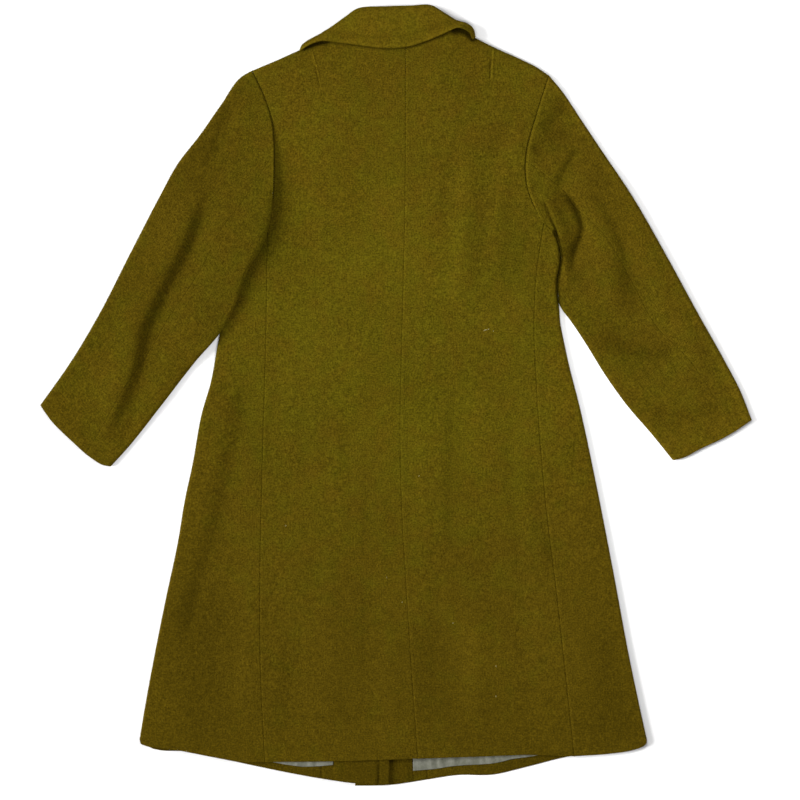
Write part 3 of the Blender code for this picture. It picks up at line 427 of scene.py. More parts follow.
# Wool by place: from, to, value at each; up the coat, at the shoulders, at the sides, and by the tone
# and painted light and shade that the pieces carry
HUE_UP = (-0.42, -0.02, -0.62, 0.22)
HUE_AT_SHOULDERS = (0.14, 0.42, 0.0, 0.44)
HUE_AT_SIDES = (0.20, 0.27, 0.0, 0.48)
GRAIN_UP = (-0.30, 0.05, 0.84, 0.98)
GRAIN_AT_COLLAR = (0.47, 0.50, 0.0, -0.15)
# Painted shade: the wool is darker towards the hem, as the light falls off down the coat
SHADE_TOWARDS_HEM = (-0.45, 0.05, 0.92, 1.0)
# Tone and painted light and shade of the pieces, which darken or lighten the wool
TONE_AND_SHADING_MAP = (-1.7, 1.0, 0.16, 1.28)

# Stage: floor's half width, distance of the suns, place and size of the light overhead, width of the
# camera's sensor in millimetres, camera's x and y
FLOOR_REACH = 6.0
SUN_AWAY = 3.0
FILL_PLACE = (0.09, 0.22, 0.95)
FILL_SIZE = 0.6
SENSOR = 36.0
CAMERA_OVER = (0.0057, -0.0064)

made_tops = {}
made_seams = {}


class CoatSizes(bpy.types.PropertyGroup):
    """Sizes of the cloth and of the sewing."""

    wool: FloatProperty(name="Wool", description="Thickness of the wool", default=0.0024, unit="LENGTH")
    facing: FloatProperty(name="Facing", description="Thickness of the facings",
                          default=0.0015, unit="LENGTH")
    lining: FloatProperty(name="Lining", description="Thickness of the lining",
                          default=0.0010, unit="LENGTH")
    collar: FloatProperty(name="Collar", description="Thickness of the collar",
                          default=0.0030, unit="LENGTH")
    front_collar: FloatProperty(name="Collar ends", description="Thickness of the collar's front ends",
                                default=0.0020, unit="LENGTH")
    seam_depth: FloatProperty(name="Seam depth", description="Depth of the groove along a seam",
                              default=0.0010, unit="LENGTH")
    seam_width: FloatProperty(name="Seam width", description="Half width of the groove along a seam",
                              default=0.0008, unit="LENGTH")
    seam_pad: FloatProperty(name="Seam pad", description="Rise of the cloth over the seam allowance",
                            default=0.0004, unit="LENGTH")
    step_across: FloatProperty(name="Step across", description="Mesh step across the visible pieces",
                               default=0.0030, unit="LENGTH")
    step_down: FloatProperty(name="Step down", description="Mesh step down the visible pieces",
                             default=0.0036, unit="LENGTH")
    hidden_step: FloatProperty(name="Hidden step", description="Mesh step of the hidden pieces",
                               default=0.0075, unit="LENGTH")
    stitch_pitch: FloatProperty(name="Stitch pitch", description="Distance from stitch to stitch",
                                default=0.0030, unit="LENGTH")
    thread: FloatProperty(name="Thread", description="Half thickness of the sewing thread",
                          default=0.00022, unit="LENGTH")
    nap_length: FloatProperty(name="Nap length", description="Length of the raised wool fibres",
                              default=0.0032, unit="LENGTH")
    nap_thickness: FloatProperty(name="Nap thickness", description="Half thickness of a wool fibre",
                                 default=0.00007, unit="LENGTH")
    nap_density: FloatProperty(name="Nap density", description="Raised fibres on a square metre",
                               default=46000.0, min=0.0)
    nap_seed: IntProperty(name="Nap seed", description="Seed of the fibres' places", default=7)


class CoatColours(bpy.types.PropertyGroup):
    """Colours of the cloths and of the floor."""

    brown: FloatVectorProperty(name="Brown wool", description="Browner patches of the wool", subtype="COLOR",
                               default=(0.0739, 0.0485, 0.0026))
    green: FloatVectorProperty(name="Green wool", description="Greener patches of the wool", subtype="COLOR",
                               default=(0.0706, 0.0558, 0.0025))
    nap: FloatVectorProperty(name="Nap", description="Raised fibres", subtype="COLOR",
                             default=(0.110, 0.083, 0.008))
    thread: FloatVectorProperty(name="Thread", description="Sewing thread", subtype="COLOR",
                                default=(0.030, 0.022, 0.001))
    lining: FloatVectorProperty(name="Lining", description="Grey lining", subtype="COLOR",
                                default=(0.104, 0.106, 0.078))
    # Painted highlights where the lining is crinkled
    lining_light: FloatVectorProperty(name="Lining highlights", description="Paler parts of the lining",
                                      subtype="COLOR", default=(0.166, 0.166, 0.133))
    lint: FloatVectorProperty(name="Lint", description="Pale lint on the wool", subtype="COLOR",
                              default=(0.42, 0.37, 0.19))
    floor: FloatVectorProperty(name="Floor", description="Pale floor", subtype="COLOR",
                               default=(0.93, 0.93, 0.93))


class CoatStage(bpy.types.PropertyGroup):
    """Light and camera."""

    camera_height: FloatProperty(name="Camera height", description="Height of the camera over the floor",
                                 default=8.0, unit="LENGTH")
    view_width: FloatProperty(name="View width", description="Width of the picture at the coat",
                              default=1.136, unit="LENGTH")
    key: FloatProperty(name="Key light", description="Strength of the soft light from the left",
                       default=5.4, min=0.0)
    key_height: FloatProperty(name="Key height", description="Height angle of the light from the left",
                              default=math.radians(25.0), subtype="ANGLE")
    key_spread: FloatProperty(name="Key spread", description="Angle that the soft light seems to fill",
                              default=math.radians(30.0), subtype="ANGLE")
    fill: FloatProperty(name="Fill light", description="Power of the light overhead",
                        default=6.2, unit="POWER")
    side: FloatProperty(name="Side light", description="Strength of the weak light from the right",
                        default=0.35, min=0.0)
    around: FloatProperty(name="Light around", description="Strength of the light from all round",
                          default=0.40, min=0.0)


def ease(low, high, value):
    """Share from 0 at low to 1 at high with soft ends."""
    share = np.clip((value - low) / (high - low), 0.0, 1.0)
    return share * share * (3.0 - 2.0 * share)


def through(marks, values, at):
    """Smooth curve through rows of values at their marks, read at other marks."""
    marks = np.asarray(marks, dtype=float)
    values = np.asarray(values, dtype=float)
    at = np.asarray(at, dtype=float)
    if len(marks) > 2:
        slopes = np.gradient(values, marks, axis=0)
    else:
        slopes = np.repeat(np.diff(values, axis=0) / np.diff(marks)[:, None], 2, axis=0)
    span = np.clip(np.searchsorted(marks, at, side="right") - 1, 0, len(marks) - 2)
    width = marks[span + 1] - marks[span]
    part = ((at - marks[span]) / width)[..., None]
    width = width[..., None]
    start = (1.0 + 2.0 * part) * (1.0 - part) ** 2 * values[span]
    start_slope = part * (1.0 - part) ** 2 * width * slopes[span]
    end = part ** 2 * (3.0 - 2.0 * part) * values[span + 1]
    end_slope = part ** 2 * (part - 1.0) * width * slopes[span + 1]
    return start + start_slope + end + end_slope


class Line:
    """A smooth line on the floor plan through its points, read by share of its length."""

    def __init__(self, points):
        self.points = np.array(points, dtype=float)
        steps = np.hypot(*np.diff(self.points, axis=0).T)
        self.length = steps.sum()
        self.marks = np.concatenate(([0.0], np.cumsum(steps))) / self.length

    def __call__(self, share):
        return through(self.marks, self.points, np.clip(share, 0.0, 1.0))


class Joined:
    """Two lines one after the other, with a corner where they meet."""

    def __init__(self, first, second):
        self.first = first
        self.second = second
        self.length = first.length + second.length
        self.corner = first.length / self.length

    def __call__(self, share):
        share = np.asarray(share, dtype=float)
        early = self.first(share / self.corner)
        late = self.second((share - self.corner) / (1.0 - self.corner))
        return np.where((share < self.corner)[..., None], early, late)


class Plan:
    """A cloth piece's plan between four lines, read by shares across and down."""

    def __init__(self, left, right, top, hem, hold=1.0):
        self.left = left
        self.right = right
        self.top = top
        self.hem = hem
        self.hold = hold

    def bow(self, line, across):
        """How far an end line stands off the straight between its own ends."""
        return line(across) - (1.0 - across)[..., None] * line(0.0) - across[..., None] * line(1.0)

    def __call__(self, across, down):
        sides = (1.0 - across)[..., None] * self.left(down) + across[..., None] * self.right(down)
        near_top = np.clip(1.0 - down / self.hold, 0.0, 1.0) ** 2
        near_hem = np.clip(1.0 - (1.0 - down) / self.hold, 0.0, 1.0) ** 2
        upper = near_top[..., None] * self.bow(self.top, across)
        lower = near_hem[..., None] * self.bow(self.hem, across)
        return sides + upper + lower

    def width(self, down):
        return np.linalg.norm(self.right(down) - self.left(down), axis=-1)

    def height(self, across):
        return np.linalg.norm(self.top(across) - self.hem(across), axis=-1)


def nearest_on(path, x, y):
    """Distance from each place to a path, share along it of the nearest point, and the side it is on."""
    best = np.full(x.shape, np.inf)
    along = np.zeros(x.shape)
    side = np.zeros(x.shape)
    steps = len(path) - 1
    for index in range(steps):
        start = path[index]
        run = path[index + 1] - start
        part = np.clip(((x - start[0]) * run[0] + (y - start[1]) * run[1]) / (run @ run), 0.0, 1.0)
        away = np.hypot(x - start[0] - part * run[0], y - start[1] - part * run[1])
        closer = away < best
        best = np.where(closer, away, best)
        along = np.where(closer, (index + part) / steps, along)
        side = np.where(closer, run[0] * (y - start[1]) - run[1] * (x - start[0]), side)
    return best, along, side


def crease_height(creases, x, y, ends=CREASE_ENDS):
    """Sum of the soft ridges and troughs in a table of creases."""
    total = np.zeros(x.shape)
    share = np.linspace(0.0, 1.0, CREASE_STEPS)[:, None]
    for row in creases:
        start, bend, end = np.array(row[:6]).reshape(3, 2)
        path = (1 - share) ** 2 * start + 2 * share * (1 - share) * bend + share ** 2 * end
        away, along, _ = nearest_on(path, x, y)
        fade = ease(0.0, ends, along) * ease(0.0, ends, 1.0 - along)
        total += row[7] * fade * np.exp(-(away / row[6]) ** 2)
    return total


def fold_height(folds, x, y):
    """Sum of the rolls and sharp valleys in a table, each with a width of its own on either side."""
    total = np.zeros(x.shape)
    for points, left_width, right_width, rise in folds:
        path = Line(points)(np.linspace(0.0, 1.0, FOLD_STEPS))
        away, along, side = nearest_on(path, x, y)
        far = away / np.where(side > 0.0, right_width, left_width)
        fade = ease(0.0, FOLD_ENDS, along) * ease(0.0, FOLD_ENDS, 1.0 - along)
        roll = np.exp(-far ** 2)
        valley = np.exp(VALLEY_ROUND - np.sqrt(far ** 2 + VALLEY_ROUND ** 2))
        total += rise * fade * (roll if rise > 0.0 else valley)
    return total


def shade(rows, x, y):
    """Sum of the painted streaks of light and shade, or of the painted shadows, in a table."""
    total = np.zeros(x.shape)
    for points, left_width, right_width, tone in rows:
        away, along, side = nearest_on(Line(points)(np.linspace(0.0, 1.0, CREASE_STEPS)), x, y)
        far = away / np.where(side > 0.0, right_width, left_width)
        total += tone * ease(0.0, FOLD_ENDS, along) * ease(0.0, FOLD_ENDS, 1.0 - along) * np.exp(-far ** 2)
    return total


def line_tone(away, reach, tone):
    """Tone that fades with the distance from a line."""
    return tone * np.exp(-(away / reach) ** 2)


def no_less(value, least):
    """The value, held softly above the least one."""
    over = value - least
    return least + 0.5 * (over + np.sqrt(over ** 2 + SOFT_STOP ** 2))


def lap_middle(y):
    right = np.interp(y, (RIGHT_FRONT_EDGE[1][1], RIGHT_FRONT_EDGE[0][1]),
                      (RIGHT_FRONT_EDGE[1][0], RIGHT_FRONT_EDGE[0][0]))
    left = np.interp(y, (LEFT_FRONT_EDGE[1][1], LEFT_FRONT_EDGE[0][1]),
                     (LEFT_FRONT_EDGE[1][0], LEFT_FRONT_EDGE[0][0]))
    return (left + right) / 2.0, right


def back_height(x, y):
    """Height of the back's upper face away from its rolled edges and creases."""
    middle, _ = lap_middle(y)
    return BACK_TOP + CROWN * np.exp(-((x - middle) / CROWN_WIDTH) ** 2)


def collar_room(x, y):
    """Height of the fronts' lower face where the collar's front ends lie under them."""
    lift = np.zeros(x.shape)
    for rows in (LEFT_LEAF_ROWS, RIGHT_LEAF_ROWS):
        table = np.array(rows)
        path = Line((table[:, 1:3] + table[:, 3:5]) / 2.0)(np.linspace(0.0, 1.0, CREASE_STEPS))
        away, _, _ = nearest_on(path, x, y)
        lift = np.maximum(lift, COLLAR_LIFT * (1.0 - ease(*LEAF_REACH, away)))
    return lift


def left_front_base(x, y):
    _, right_edge = lap_middle(y)
    rise = np.interp(y, [row[0] for row in LAP_RISE], [row[1] for row in LAP_RISE])
    return collar_room(x, y) + rise * ease(right_edge + LAP_SLOPE[0], right_edge + LAP_SLOPE[1], x)


def rolled(away):
    """Share of the full height at a distance in from a rolled edge."""
    inside = np.clip(1.0 - away / ROLL, 0.0, 1.0)
    return np.sqrt(1.0 - inside ** 2)


def wall_side(away, thick):
    """Distance of the inner face from a rolled edge, for an outer face that far from it."""
    return away + thick * np.clip(1.0 - away / ROLL, 0.0, 1.0)


def seam_groove(away, sizes):
    """Share of a seam's full depth at a distance from it."""
    return np.exp(-(away / sizes.seam_width) ** 2)


def seam_step(away, sizes):
    """Rise of the cloth beside a seam where it lies on the seam allowance."""
    return sizes.seam_pad * (1.0 - np.exp(-(away / PAD_RISE) ** 2)) * np.exp(-(away / PAD_REACH) ** 2)


def tucked(x, y):
    """Whether the right sleeve lies close against the body at these places."""
    low, high = TUCKED
    return ease(low, low + TUCKED_FADE, y) * (1.0 - ease(high - TUCKED_FADE, high, y)) * (x > 0.0)


def seam_shows(line, upper, lower, down):
    """How strongly a seam shows at shares down it: one value above a corner in its line, one below."""
    corner = getattr(line, "corner", 0.0)
    return upper + (lower - upper) * ease(corner - CORNER_FADE, corner + CORNER_FADE, down)


def close_edges(outer, inner, *edges):
    """Both faces drawn round to meet at the free edges, which are that far away."""
    keep = np.ones(outer.shape[:2])
    for away in edges:
        inside = np.clip(1.0 - away / EDGE_RADIUS, 0.0, 1.0)
        keep = keep * np.maximum(EDGE_LEAST, np.sqrt(1.0 - inside ** 2))
    middle = (outer + inner) / 2.0
    return middle + (outer - middle) * keep[..., None], middle + (inner - middle) * keep[..., None]


def cell_count(span, step):
    return max(4, math.ceil(np.max(span) / step))


def stations(span, cells, start, end, focus=NO_FOCUS):
    """Distances across a span: marks at both ends, and a middle that is closer at each focus."""
    shares = np.linspace(0.0, 1.0, FOCUS_MARKS)
    density = np.ones_like(shares)
    for share, width, strength in focus:
        density += strength * np.exp(-((shares - share) / width) ** 2)
    run = np.concatenate(([0.0], np.cumsum(density[1:] + density[:-1])))
    inner = np.interp(np.linspace(0.0, 1.0, cells + 1)[1:-1], run / run[-1], shares)
    span = np.asarray(span, dtype=float)[:, None]
    middle = start[-1] + (span - start[-1] - end[-1]) * inner
    return np.concatenate((np.repeat(start[None, :], len(span), axis=0), middle, span - end[::-1]), axis=1)


def dress(piece, node):
    """The piece rides on the coat and stands for its node, whose solid is hidden."""
    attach(piece, BODY)
    if node:
        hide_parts(node)


def new_piece(name, data, look):
    data.materials.clear()
    data.materials.append(look)
    piece = bpy.data.objects.new(name, data)
    bpy.context.scene.collection.objects.link(piece)
    return piece


def grid_quads(rows, columns):
    number = np.arange(rows * columns).reshape(rows, columns)
    quads = np.stack((number[:-1, :-1], number[:-1, 1:], number[1:, 1:], number[1:, :-1]), axis=-1)
    return number, quads.reshape(-1, 4)


def shell(node, outer, inner, grain, tone_and_painted_shading, look, inner_tone=0.0):
    """A closed cloth shell between two skins of points, rows down and columns across."""
    rows, columns = outer.shape[:2]
    count = rows * columns
    number, quads = grid_quads(rows, columns)
    rim = np.concatenate((number[0, :-1], number[:-1, -1], number[-1, :0:-1], number[:0:-1, 0]))
    after = np.roll(rim, -1)
    sides = np.stack((after, rim, rim + count, after + count), axis=-1)
    faces = np.concatenate((quads, quads[:, ::-1] + count, sides))
    points = np.concatenate((outer.reshape(-1, 3), inner.reshape(-1, 3)))
    corners = points[faces]
    diagonal = np.cross(corners[:, 2] - corners[:, 0], corners[:, 3] - corners[:, 1])
    inside_out = np.sum(diagonal * corners.mean(axis=1)) < 0.0
    if inside_out:
        faces = faces[:, ::-1]
    data = bpy.data.meshes.new(node + "_cloth")
    data.from_pydata(points, [], faces)
    data.shade_smooth()
    corner_points = np.empty(len(data.loops), dtype=np.int64)
    data.loops.foreach_get("vertex_index", corner_points)
    both = np.concatenate((grain.reshape(-1, 2), grain.reshape(-1, 2)))
    data.uv_layers.new(name="grain").uv.foreach_set("vector", both[corner_points].ravel())
    # The outer skin carries tone with painted light and shade; the inner skin carries one tone of its own
    pressed = np.concatenate((tone_and_painted_shading.ravel(), np.full(count, inner_tone))).astype(np.float32)
    data.attributes.new("tone_and_painted_shading", "FLOAT", "POINT").data.foreach_set("value", pressed)
    if data.validate():
        raise RuntimeError(node + ": the cloth has faces that can't be used")
    piece = new_piece(node + "_cloth", data, look)
    made_tops[node] = (outer, inside_out)
    dress(piece, node)
    return piece


def body_piece(node, plan, left, right, shoulder, base, upper, creases, sizes, steps, look,
               focus=NO_FOCUS, lower_seams=(SIDE_SHOWS, SIDE_SHOWS)):
    """A back panel (upper) or a front (lower); its sides are rolled over, sewn or free."""
    wool = sizes.wool
    top = "seam" if shoulder is NO_SHOULDER else "roll"
    collar_edge = Line(np.array(COLLAR_ROWS)[:, 3:5])(np.linspace(0.0, 1.0, FOLD_STEPS))
    across_cells = cell_count(plan.width(np.linspace(0.0, 1.0, 9)), steps[0])
    middle_width = plan.width(np.array([0.5]))
    shares = (stations(middle_width, across_cells, MARKS[left], MARKS[right], focus) / middle_width)[0]
    heights = plan.height(shares)
    collar_focus = COLLAR_FOCUS if upper and top == "roll" else NO_FOCUS
    from_top = stations(heights, cell_count(heights, steps[1]), MARKS[top], MARKS["free"], collar_focus).T
    share_down = from_top / heights
    widths = plan.width(share_down.mean(axis=1))
    from_left = stations(widths, across_cells, MARKS[left], MARKS[right], focus)
    widths = widths[:, None]
    from_right = widths - from_left
    skins = []
    for inner in (False, True):
        left_in = wall_side(from_left, wool) if inner and left == "roll" else from_left
        right_in = wall_side(from_right, wool) if inner and right == "roll" else from_right
        across = 1.0 - right_in / widths if right == "roll" else left_in / widths
        on_shoulder = ease(shoulder[0] - SHOULDER_FADE, shoulder[0], across)
        on_shoulder = on_shoulder * (1.0 - ease(shoulder[1], shoulder[1] + SHOULDER_FADE, across))
        top_shift = on_shoulder * (wall_side(from_top, wool) - from_top) if inner else 0.0
        spots = plan(across, share_down + top_shift / heights)
        x, y = spots[..., 0], spots[..., 1]
        floor = base(x, y)
        low = collar_room(x, y) if upper else floor
        middle = (low + back_height(x, y)) / 2.0
        turn = 1.0 + on_shoulder * (rolled(from_top) - 1.0)
        if left == "roll":
            turn = turn * rolled(from_left)
        if right == "roll":
            turn = turn * rolled(from_right)
        if upper:
            seam = middle + GAP / 2.0
            relief = no_less(crease_height(creases, x, y), DEEPEST_DENT)
            z = seam + (back_height(x, y) + relief - (wool if inner else 0.0) - seam) * turn
        else:
            seam = middle - GAP / 2.0
            relief = wool + crease_height(HEM_LINES, x, y) if inner else crease_height(creases, x, y)
            z = seam - (seam - floor - relief) * turn
        if upper and not inner:
            tone_and_painted_shading = np.zeros(x.shape)
            dart = crease_height(DARTS, x, y, DART_ENDS)
            z = z + dart
            for kind, line, away in ((left, plan.left, from_left), (right, plan.right, from_right),
                                     (top, plan.top, from_top)):
                if kind == "seam":
                    shows = seam_shows(line, ARMHOLE_SHOWS, lower_seams[line is plan.right], share_down)
                    groove = shows * seam_groove(away, sizes)
                    padded = seam_shows(line, 0.0, 1.0, share_down) if line is plan.left else 0.0
                    z = z - sizes.seam_depth * groove + padded * seam_step(away, sizes)
                    # Painted shade along the seam's groove
                    tone_and_painted_shading = tone_and_painted_shading - groove
            # Painted light and shade along the darts' ridges and troughs
            tone_and_painted_shading = tone_and_painted_shading + dart / sizes.seam_depth
            # Painted streaks of light and shade, which also raise or sink the cloth a little, and painted
            # shadows
            streak_shading = shade(SHADING_STREAKS, x, y)
            z = z + STREAK_RISE * streak_shading * turn
            tone_and_painted_shading = tone_and_painted_shading + streak_shading + shade(BACK_SHADOWS, x, y)
            # Painted shade in the fold where the right sleeve lies against the body, and a painted highlight
            # along the rest of the right edge
            if right == "roll":
                beside = tucked(x, y)
                tone_and_painted_shading = tone_and_painted_shading + beside * line_tone(from_right, *TUCKED_BODY_SHADE)
                tone_and_painted_shading = tone_and_painted_shading + (1.0 - beside) * line_tone(from_right, *BODY_RIM_HIGHLIGHT)
            if top == "roll":
                # Painted shadow under the collar's edge
                edge_away, _, _ = nearest_on(collar_edge, x, y)
                tone_and_painted_shading = tone_and_painted_shading + line_tone(edge_away, *COLLAR_SHADOW)
        skins.append(np.concatenate((spots, z[..., None]), axis=-1))
    if not upper:
        tone_and_painted_shading = np.zeros(from_left.shape)
    free = [heights - from_top]
    free += [away for kind, away in ((left, from_left), (right, from_right)) if kind == "free"]
    outer, inner = close_edges(*skins, *free)
    made_seams[node] = (outer[:, 0], outer[:, -1])
    return shell(node, outer, inner, outer[..., :2], tone_and_painted_shading, look,
                 0.0 if upper else INSIDE_TONE)


def inside_piece(node, plan, sides, rise, base, thick, creases, thin_side, sizes, look):
    """A facing or lining lying on a front, made from the front's own points moved up."""
    width = plan.width(np.array([1.0])) * (sides[1] - sides[0])
    height = plan.height(np.array([np.mean(sides)])) * (1.0 - INSIDE_FROM)
    from_left = stations(width, cell_count(width, sizes.step_across), MARKS["free"], MARKS["free"])
    down_cells = cell_count(height, sizes.hidden_step)
    from_top = stations(height, down_cells, MARKS["free"], MARKS["free"], HEM_FOCUS)
    share_across, share_down = np.meshgrid(from_left[0] / width, from_top[0] / height)
    across = sides[0] + share_across * (sides[1] - sides[0])
    over_hem = np.interp(plan.hem(across)[..., 0], *np.transpose(rise)) / plan.height(across)
    spots = plan(across, INSIDE_FROM + share_down * (1.0 - over_hem - INSIDE_FROM))
    x, y = spots[..., 0], spots[..., 1]
    crinkle = crease_height(creases, x, y)
    low = base(x, y) + sizes.wool + GAP + np.maximum(crinkle, 0.0)
    body = thick + np.minimum(crinkle, 0.0)
    if thin_side is not None:
        least, reach = THIN_EDGE
        body = body * (least + (1.0 - least) * ease(0.0, reach, np.abs(share_across - thin_side) * width))
    outer = np.concatenate((spots, (low + body)[..., None]), axis=-1)
    inner = np.concatenate((spots, low[..., None]), axis=-1)
    far_left = share_across * width
    outer, inner = close_edges(outer, inner, far_left, width - far_left, (1.0 - share_down) * height)
    # Tone of the inside, with painted shade in the troughs of its lines and crinkles
    tone_and_painted_shading = INSIDE_TONE + np.minimum(crinkle, 0.0) / sizes.seam_depth
    return shell(node, outer, inner, outer[..., :2], tone_and_painted_shading, look)


def sleeve_piece(node, plan, seam_rows, folds, lift, outer_side, sizes, look):
    """One half of a sleeve: from the elbow seam on top, round its edge, to the forearm seam below."""
    wool = sizes.wool
    on_right = plan.left(0.5)[0] > 0.0
    valleys = [row for row in folds if row[3] < 0.0]
    inner_edge = plan.right(np.linspace(0.0, 1.0, EDGE_STEPS))
    length = np.array([plan.left.length])
    from_top = stations(length, cell_count(length, sizes.step_down), MARKS["seam"], MARKS["free"])[0]
    down = from_top / length
    widths = plan.width(down)
    table = np.array(seam_rows)
    seam = through(table[:, 0], table[:, 1:], down)[:, 0]
    top_reach = widths * (seam if outer_side else 1.0 - seam)
    under_reach = widths * (FOREARM_SEAM if outer_side else 1.0 - FOREARM_SEAM)
    top_cells = cell_count(top_reach, sizes.step_across)
    under_cells = cell_count(under_reach, sizes.hidden_step)
    top_away = stations(top_reach, top_cells, MARKS["roll"], MARKS["seam"])[:, ::-1]
    under_away = stations(under_reach, under_cells, MARKS["roll"], MARKS["seam"])[:, 1:]
    away = np.concatenate((top_away, under_away), axis=1)
    above = np.concatenate((np.ones(top_away.shape), -np.ones(under_away.shape)), axis=1)
    to_seam = np.concatenate((top_reach[:, None] - top_away, under_reach[:, None] - under_away), axis=1)
    down = np.repeat(down[:, None], away.shape[1], axis=1)
    from_top = np.repeat(from_top[:, None], away.shape[1], axis=1)
    groove = ELBOW_SHOWS * seam_groove(to_seam, sizes) + ARMHOLE_SHOWS * seam_groove(from_top, sizes)
    dip = ARMHOLE_STEP * seam_step(from_top, sizes) - sizes.seam_depth * groove
    if outer_side == on_right:
        dip = dip + ELBOW_STEP * seam_step(to_seam, sizes)
    # Painted shade along the seams' grooves
    tone_and_painted_shading = -groove
    skins = []
    for inner in (False, True):
        reach = wall_side(away, wool) if inner else away
        across = reach / widths[:, None] if outer_side else 1.0 - reach / widths[:, None]
        spots = plan(across, down)
        x, y = spots[..., 0], spots[..., 1]
        on_body = 1.0 - ease(*LIFT_DOWN, down)
        floor = lift[0] * ease(*LIFT_ACROSS, across) * on_body
        top = back_height(x, y) + fold_height(folds, x, y)
        top = top + lift[1] * ease(*TOP_LIFT_ACROSS, across) * on_body
        top = no_less(top, floor + 2.0 * wool + SLEEVE_SPACE)
        middle = (floor + top) / 2.0
        wall = wool if inner else 0.0
        relief = wool if inner else crease_height(UNDER_CREASES, x, y) + np.maximum(-dip, 0.0)
        z_top = middle + (top - wall - middle) * rolled(away) + (0.0 if inner else dip)
        z_under = middle - (middle - floor - relief) * rolled(away)
        z = np.where(above > 0.0, z_top, z_under)
        if not inner:
            # Tone down the sleeve, with painted shade in the fold valleys, painted shadows, painted
            # highlights on the right sleeve's outer edge and beside its armhole, and painted shade in the
            # tucked fold
            tone = np.interp(down, SLEEVE_TONE_DOWN, SLEEVE_TONE[int(on_right)])
            tone = tone + VALLEY_SHADE * fold_height(valleys, x, y) + shade(SLEEVE_SHADOWS, x, y)
            if outer_side and on_right:
                tone = tone + line_tone(away, *RIM_HIGHLIGHT)
            if on_right:
                tone = tone + line_tone(from_top - ARMHOLE_HIGHLIGHT[0], *ARMHOLE_HIGHLIGHT[1:])
            if not outer_side:
                edge_away, _, _ = nearest_on(inner_edge, x, y)
                tone = tone + tucked(x, y) * line_tone(edge_away, *TUCKED_SLEEVE_SHADE)
            tone_and_painted_shading = tone_and_painted_shading + tone * (above > 0.0)
        skins.append(np.concatenate((spots, z[..., None]), axis=-1))
    outer, inner = close_edges(*skins, length - from_top)
    grain = np.stack((away * above, from_top), axis=-1)
    made_seams[node] = (outer[:, 0], outer[:, -1])
    return shell(node, outer, inner, grain, tone_and_painted_shading, look)


def collar_section(seam, roll, edge, centre, seam_ramp, edge_ramp, outside, radius, upward):
    """Points of one section: up the stand, round the roll and down the fall."""
    inward = (edge - roll) / np.linalg.norm(edge - roll)
    turn_centre = roll + inward * outside
    fall = np.linalg.norm(edge - turn_centre)
    points = []
    for share in np.linspace(0.0, 1.0, STAND_POINTS + 1)[:-1]:
        spot = seam + (turn_centre - seam) * share
        points.append((*spot, centre - upward * radius + seam_ramp * (1.0 - share), fall))
    for turn in np.radians(np.linspace(-90.0, 90.0, TURN_POINTS)):
        spot = turn_centre - inward * radius * np.cos(turn)
        points.append((*spot, centre + upward * radius * np.sin(turn), fall))
    for away in stations([fall], FALL_POINTS, np.array([0.0]), MARKS["free"])[0][1:]:
        spot = turn_centre + inward * away
        lift = edge_ramp * ease(0.0, 1.0, away / fall)
        points.append((*spot, centre + upward * radius + lift, fall - away))
    return points


def collar_marks(rows, count):
    """Row numbers along a collar, closer together at its two ends."""
    last = len(rows) - 1.0
    ends = MARKS["free"] / 0.010
    return stations([last], count, ends, ends)[0]


def collar_piece(node, neckline, rows, along, thick, bend, room, upward, sizes, look):
    """A part of the collar from its seam round the roll to its free edge."""
    table = np.array(rows)
    marks = collar_marks(rows, along)
    made = through(np.arange(len(rows)), table, marks)
    skins = ([], [])
    for values in made:
        roll = values[1:3]
        edge = values[3:5]
        seam = neckline(values[0])
        seam = seam + room * (roll - seam) / np.linalg.norm(roll - seam)
        outside = thick + bend
        centre, seam_ramp, lift = outside, 0.0, 0.0
        if upward > 0.0:
            centre = float(back_height(edge[:1], edge[1:])[0]) + GAP - bend
            neck_height = float(back_height(seam[:1], seam[1:])[0]) - sizes.wool / 2.0
            seam_ramp = neck_height - (centre - bend - thick / 2.0)
            lift = max(0.0, values[5])
        for skin, radius in zip(skins, (outside, bend)):
            skin.append(collar_section(seam, roll, edge, centre, seam_ramp, lift, outside, radius, upward))
    skins = [np.array(skin) for skin in skins]
    to_edge = skins[0][..., 3]
    outer, inner = skins[0][..., :3], skins[1][..., :3]
    line_away, line_width, line_depth = COLLAR_LINE
    pressed = np.exp(-((to_edge - line_away) / line_width) ** 2)
    falls = np.arange(outer.shape[1]) >= STAND_POINTS + TURN_POINTS
    outer[..., 2] -= upward * line_depth * pressed * falls
    steps = np.linalg.norm(np.diff(outer.mean(axis=1), axis=0), axis=-1)
    run = np.concatenate(([0.0], np.cumsum(steps)))[:, None] * np.ones(to_edge.shape)
    ends = (np.minimum(run, run[-1] - run),)
    outer, inner = close_edges(outer, inner, np.where(falls, to_edge, ROLL), *ends)
    round_section = np.concatenate((np.zeros((len(run), 1)), np.cumsum(
        np.linalg.norm(np.diff(outer, axis=1), axis=-1), axis=1)), axis=1)
    grain = np.stack((run, round_section), axis=-1)
    beside, *edge_light = COLLAR_EDGE_LIGHT
    # Painted light and shade on the fall: lighter all over, a painted highlight beside the edge, a painted
    # shadow on the lip and painted shade on the pressed line
    tone_and_painted_shading = COLLAR_PAINTED_LIGHT + line_tone(to_edge - beside, *edge_light) + line_tone(to_edge, *COLLAR_LIP)
    tone_and_painted_shading = (tone_and_painted_shading + COLLAR_LINE_SHADE * pressed) * falls
    return shell(node, outer, inner, grain, tone_and_painted_shading, look)


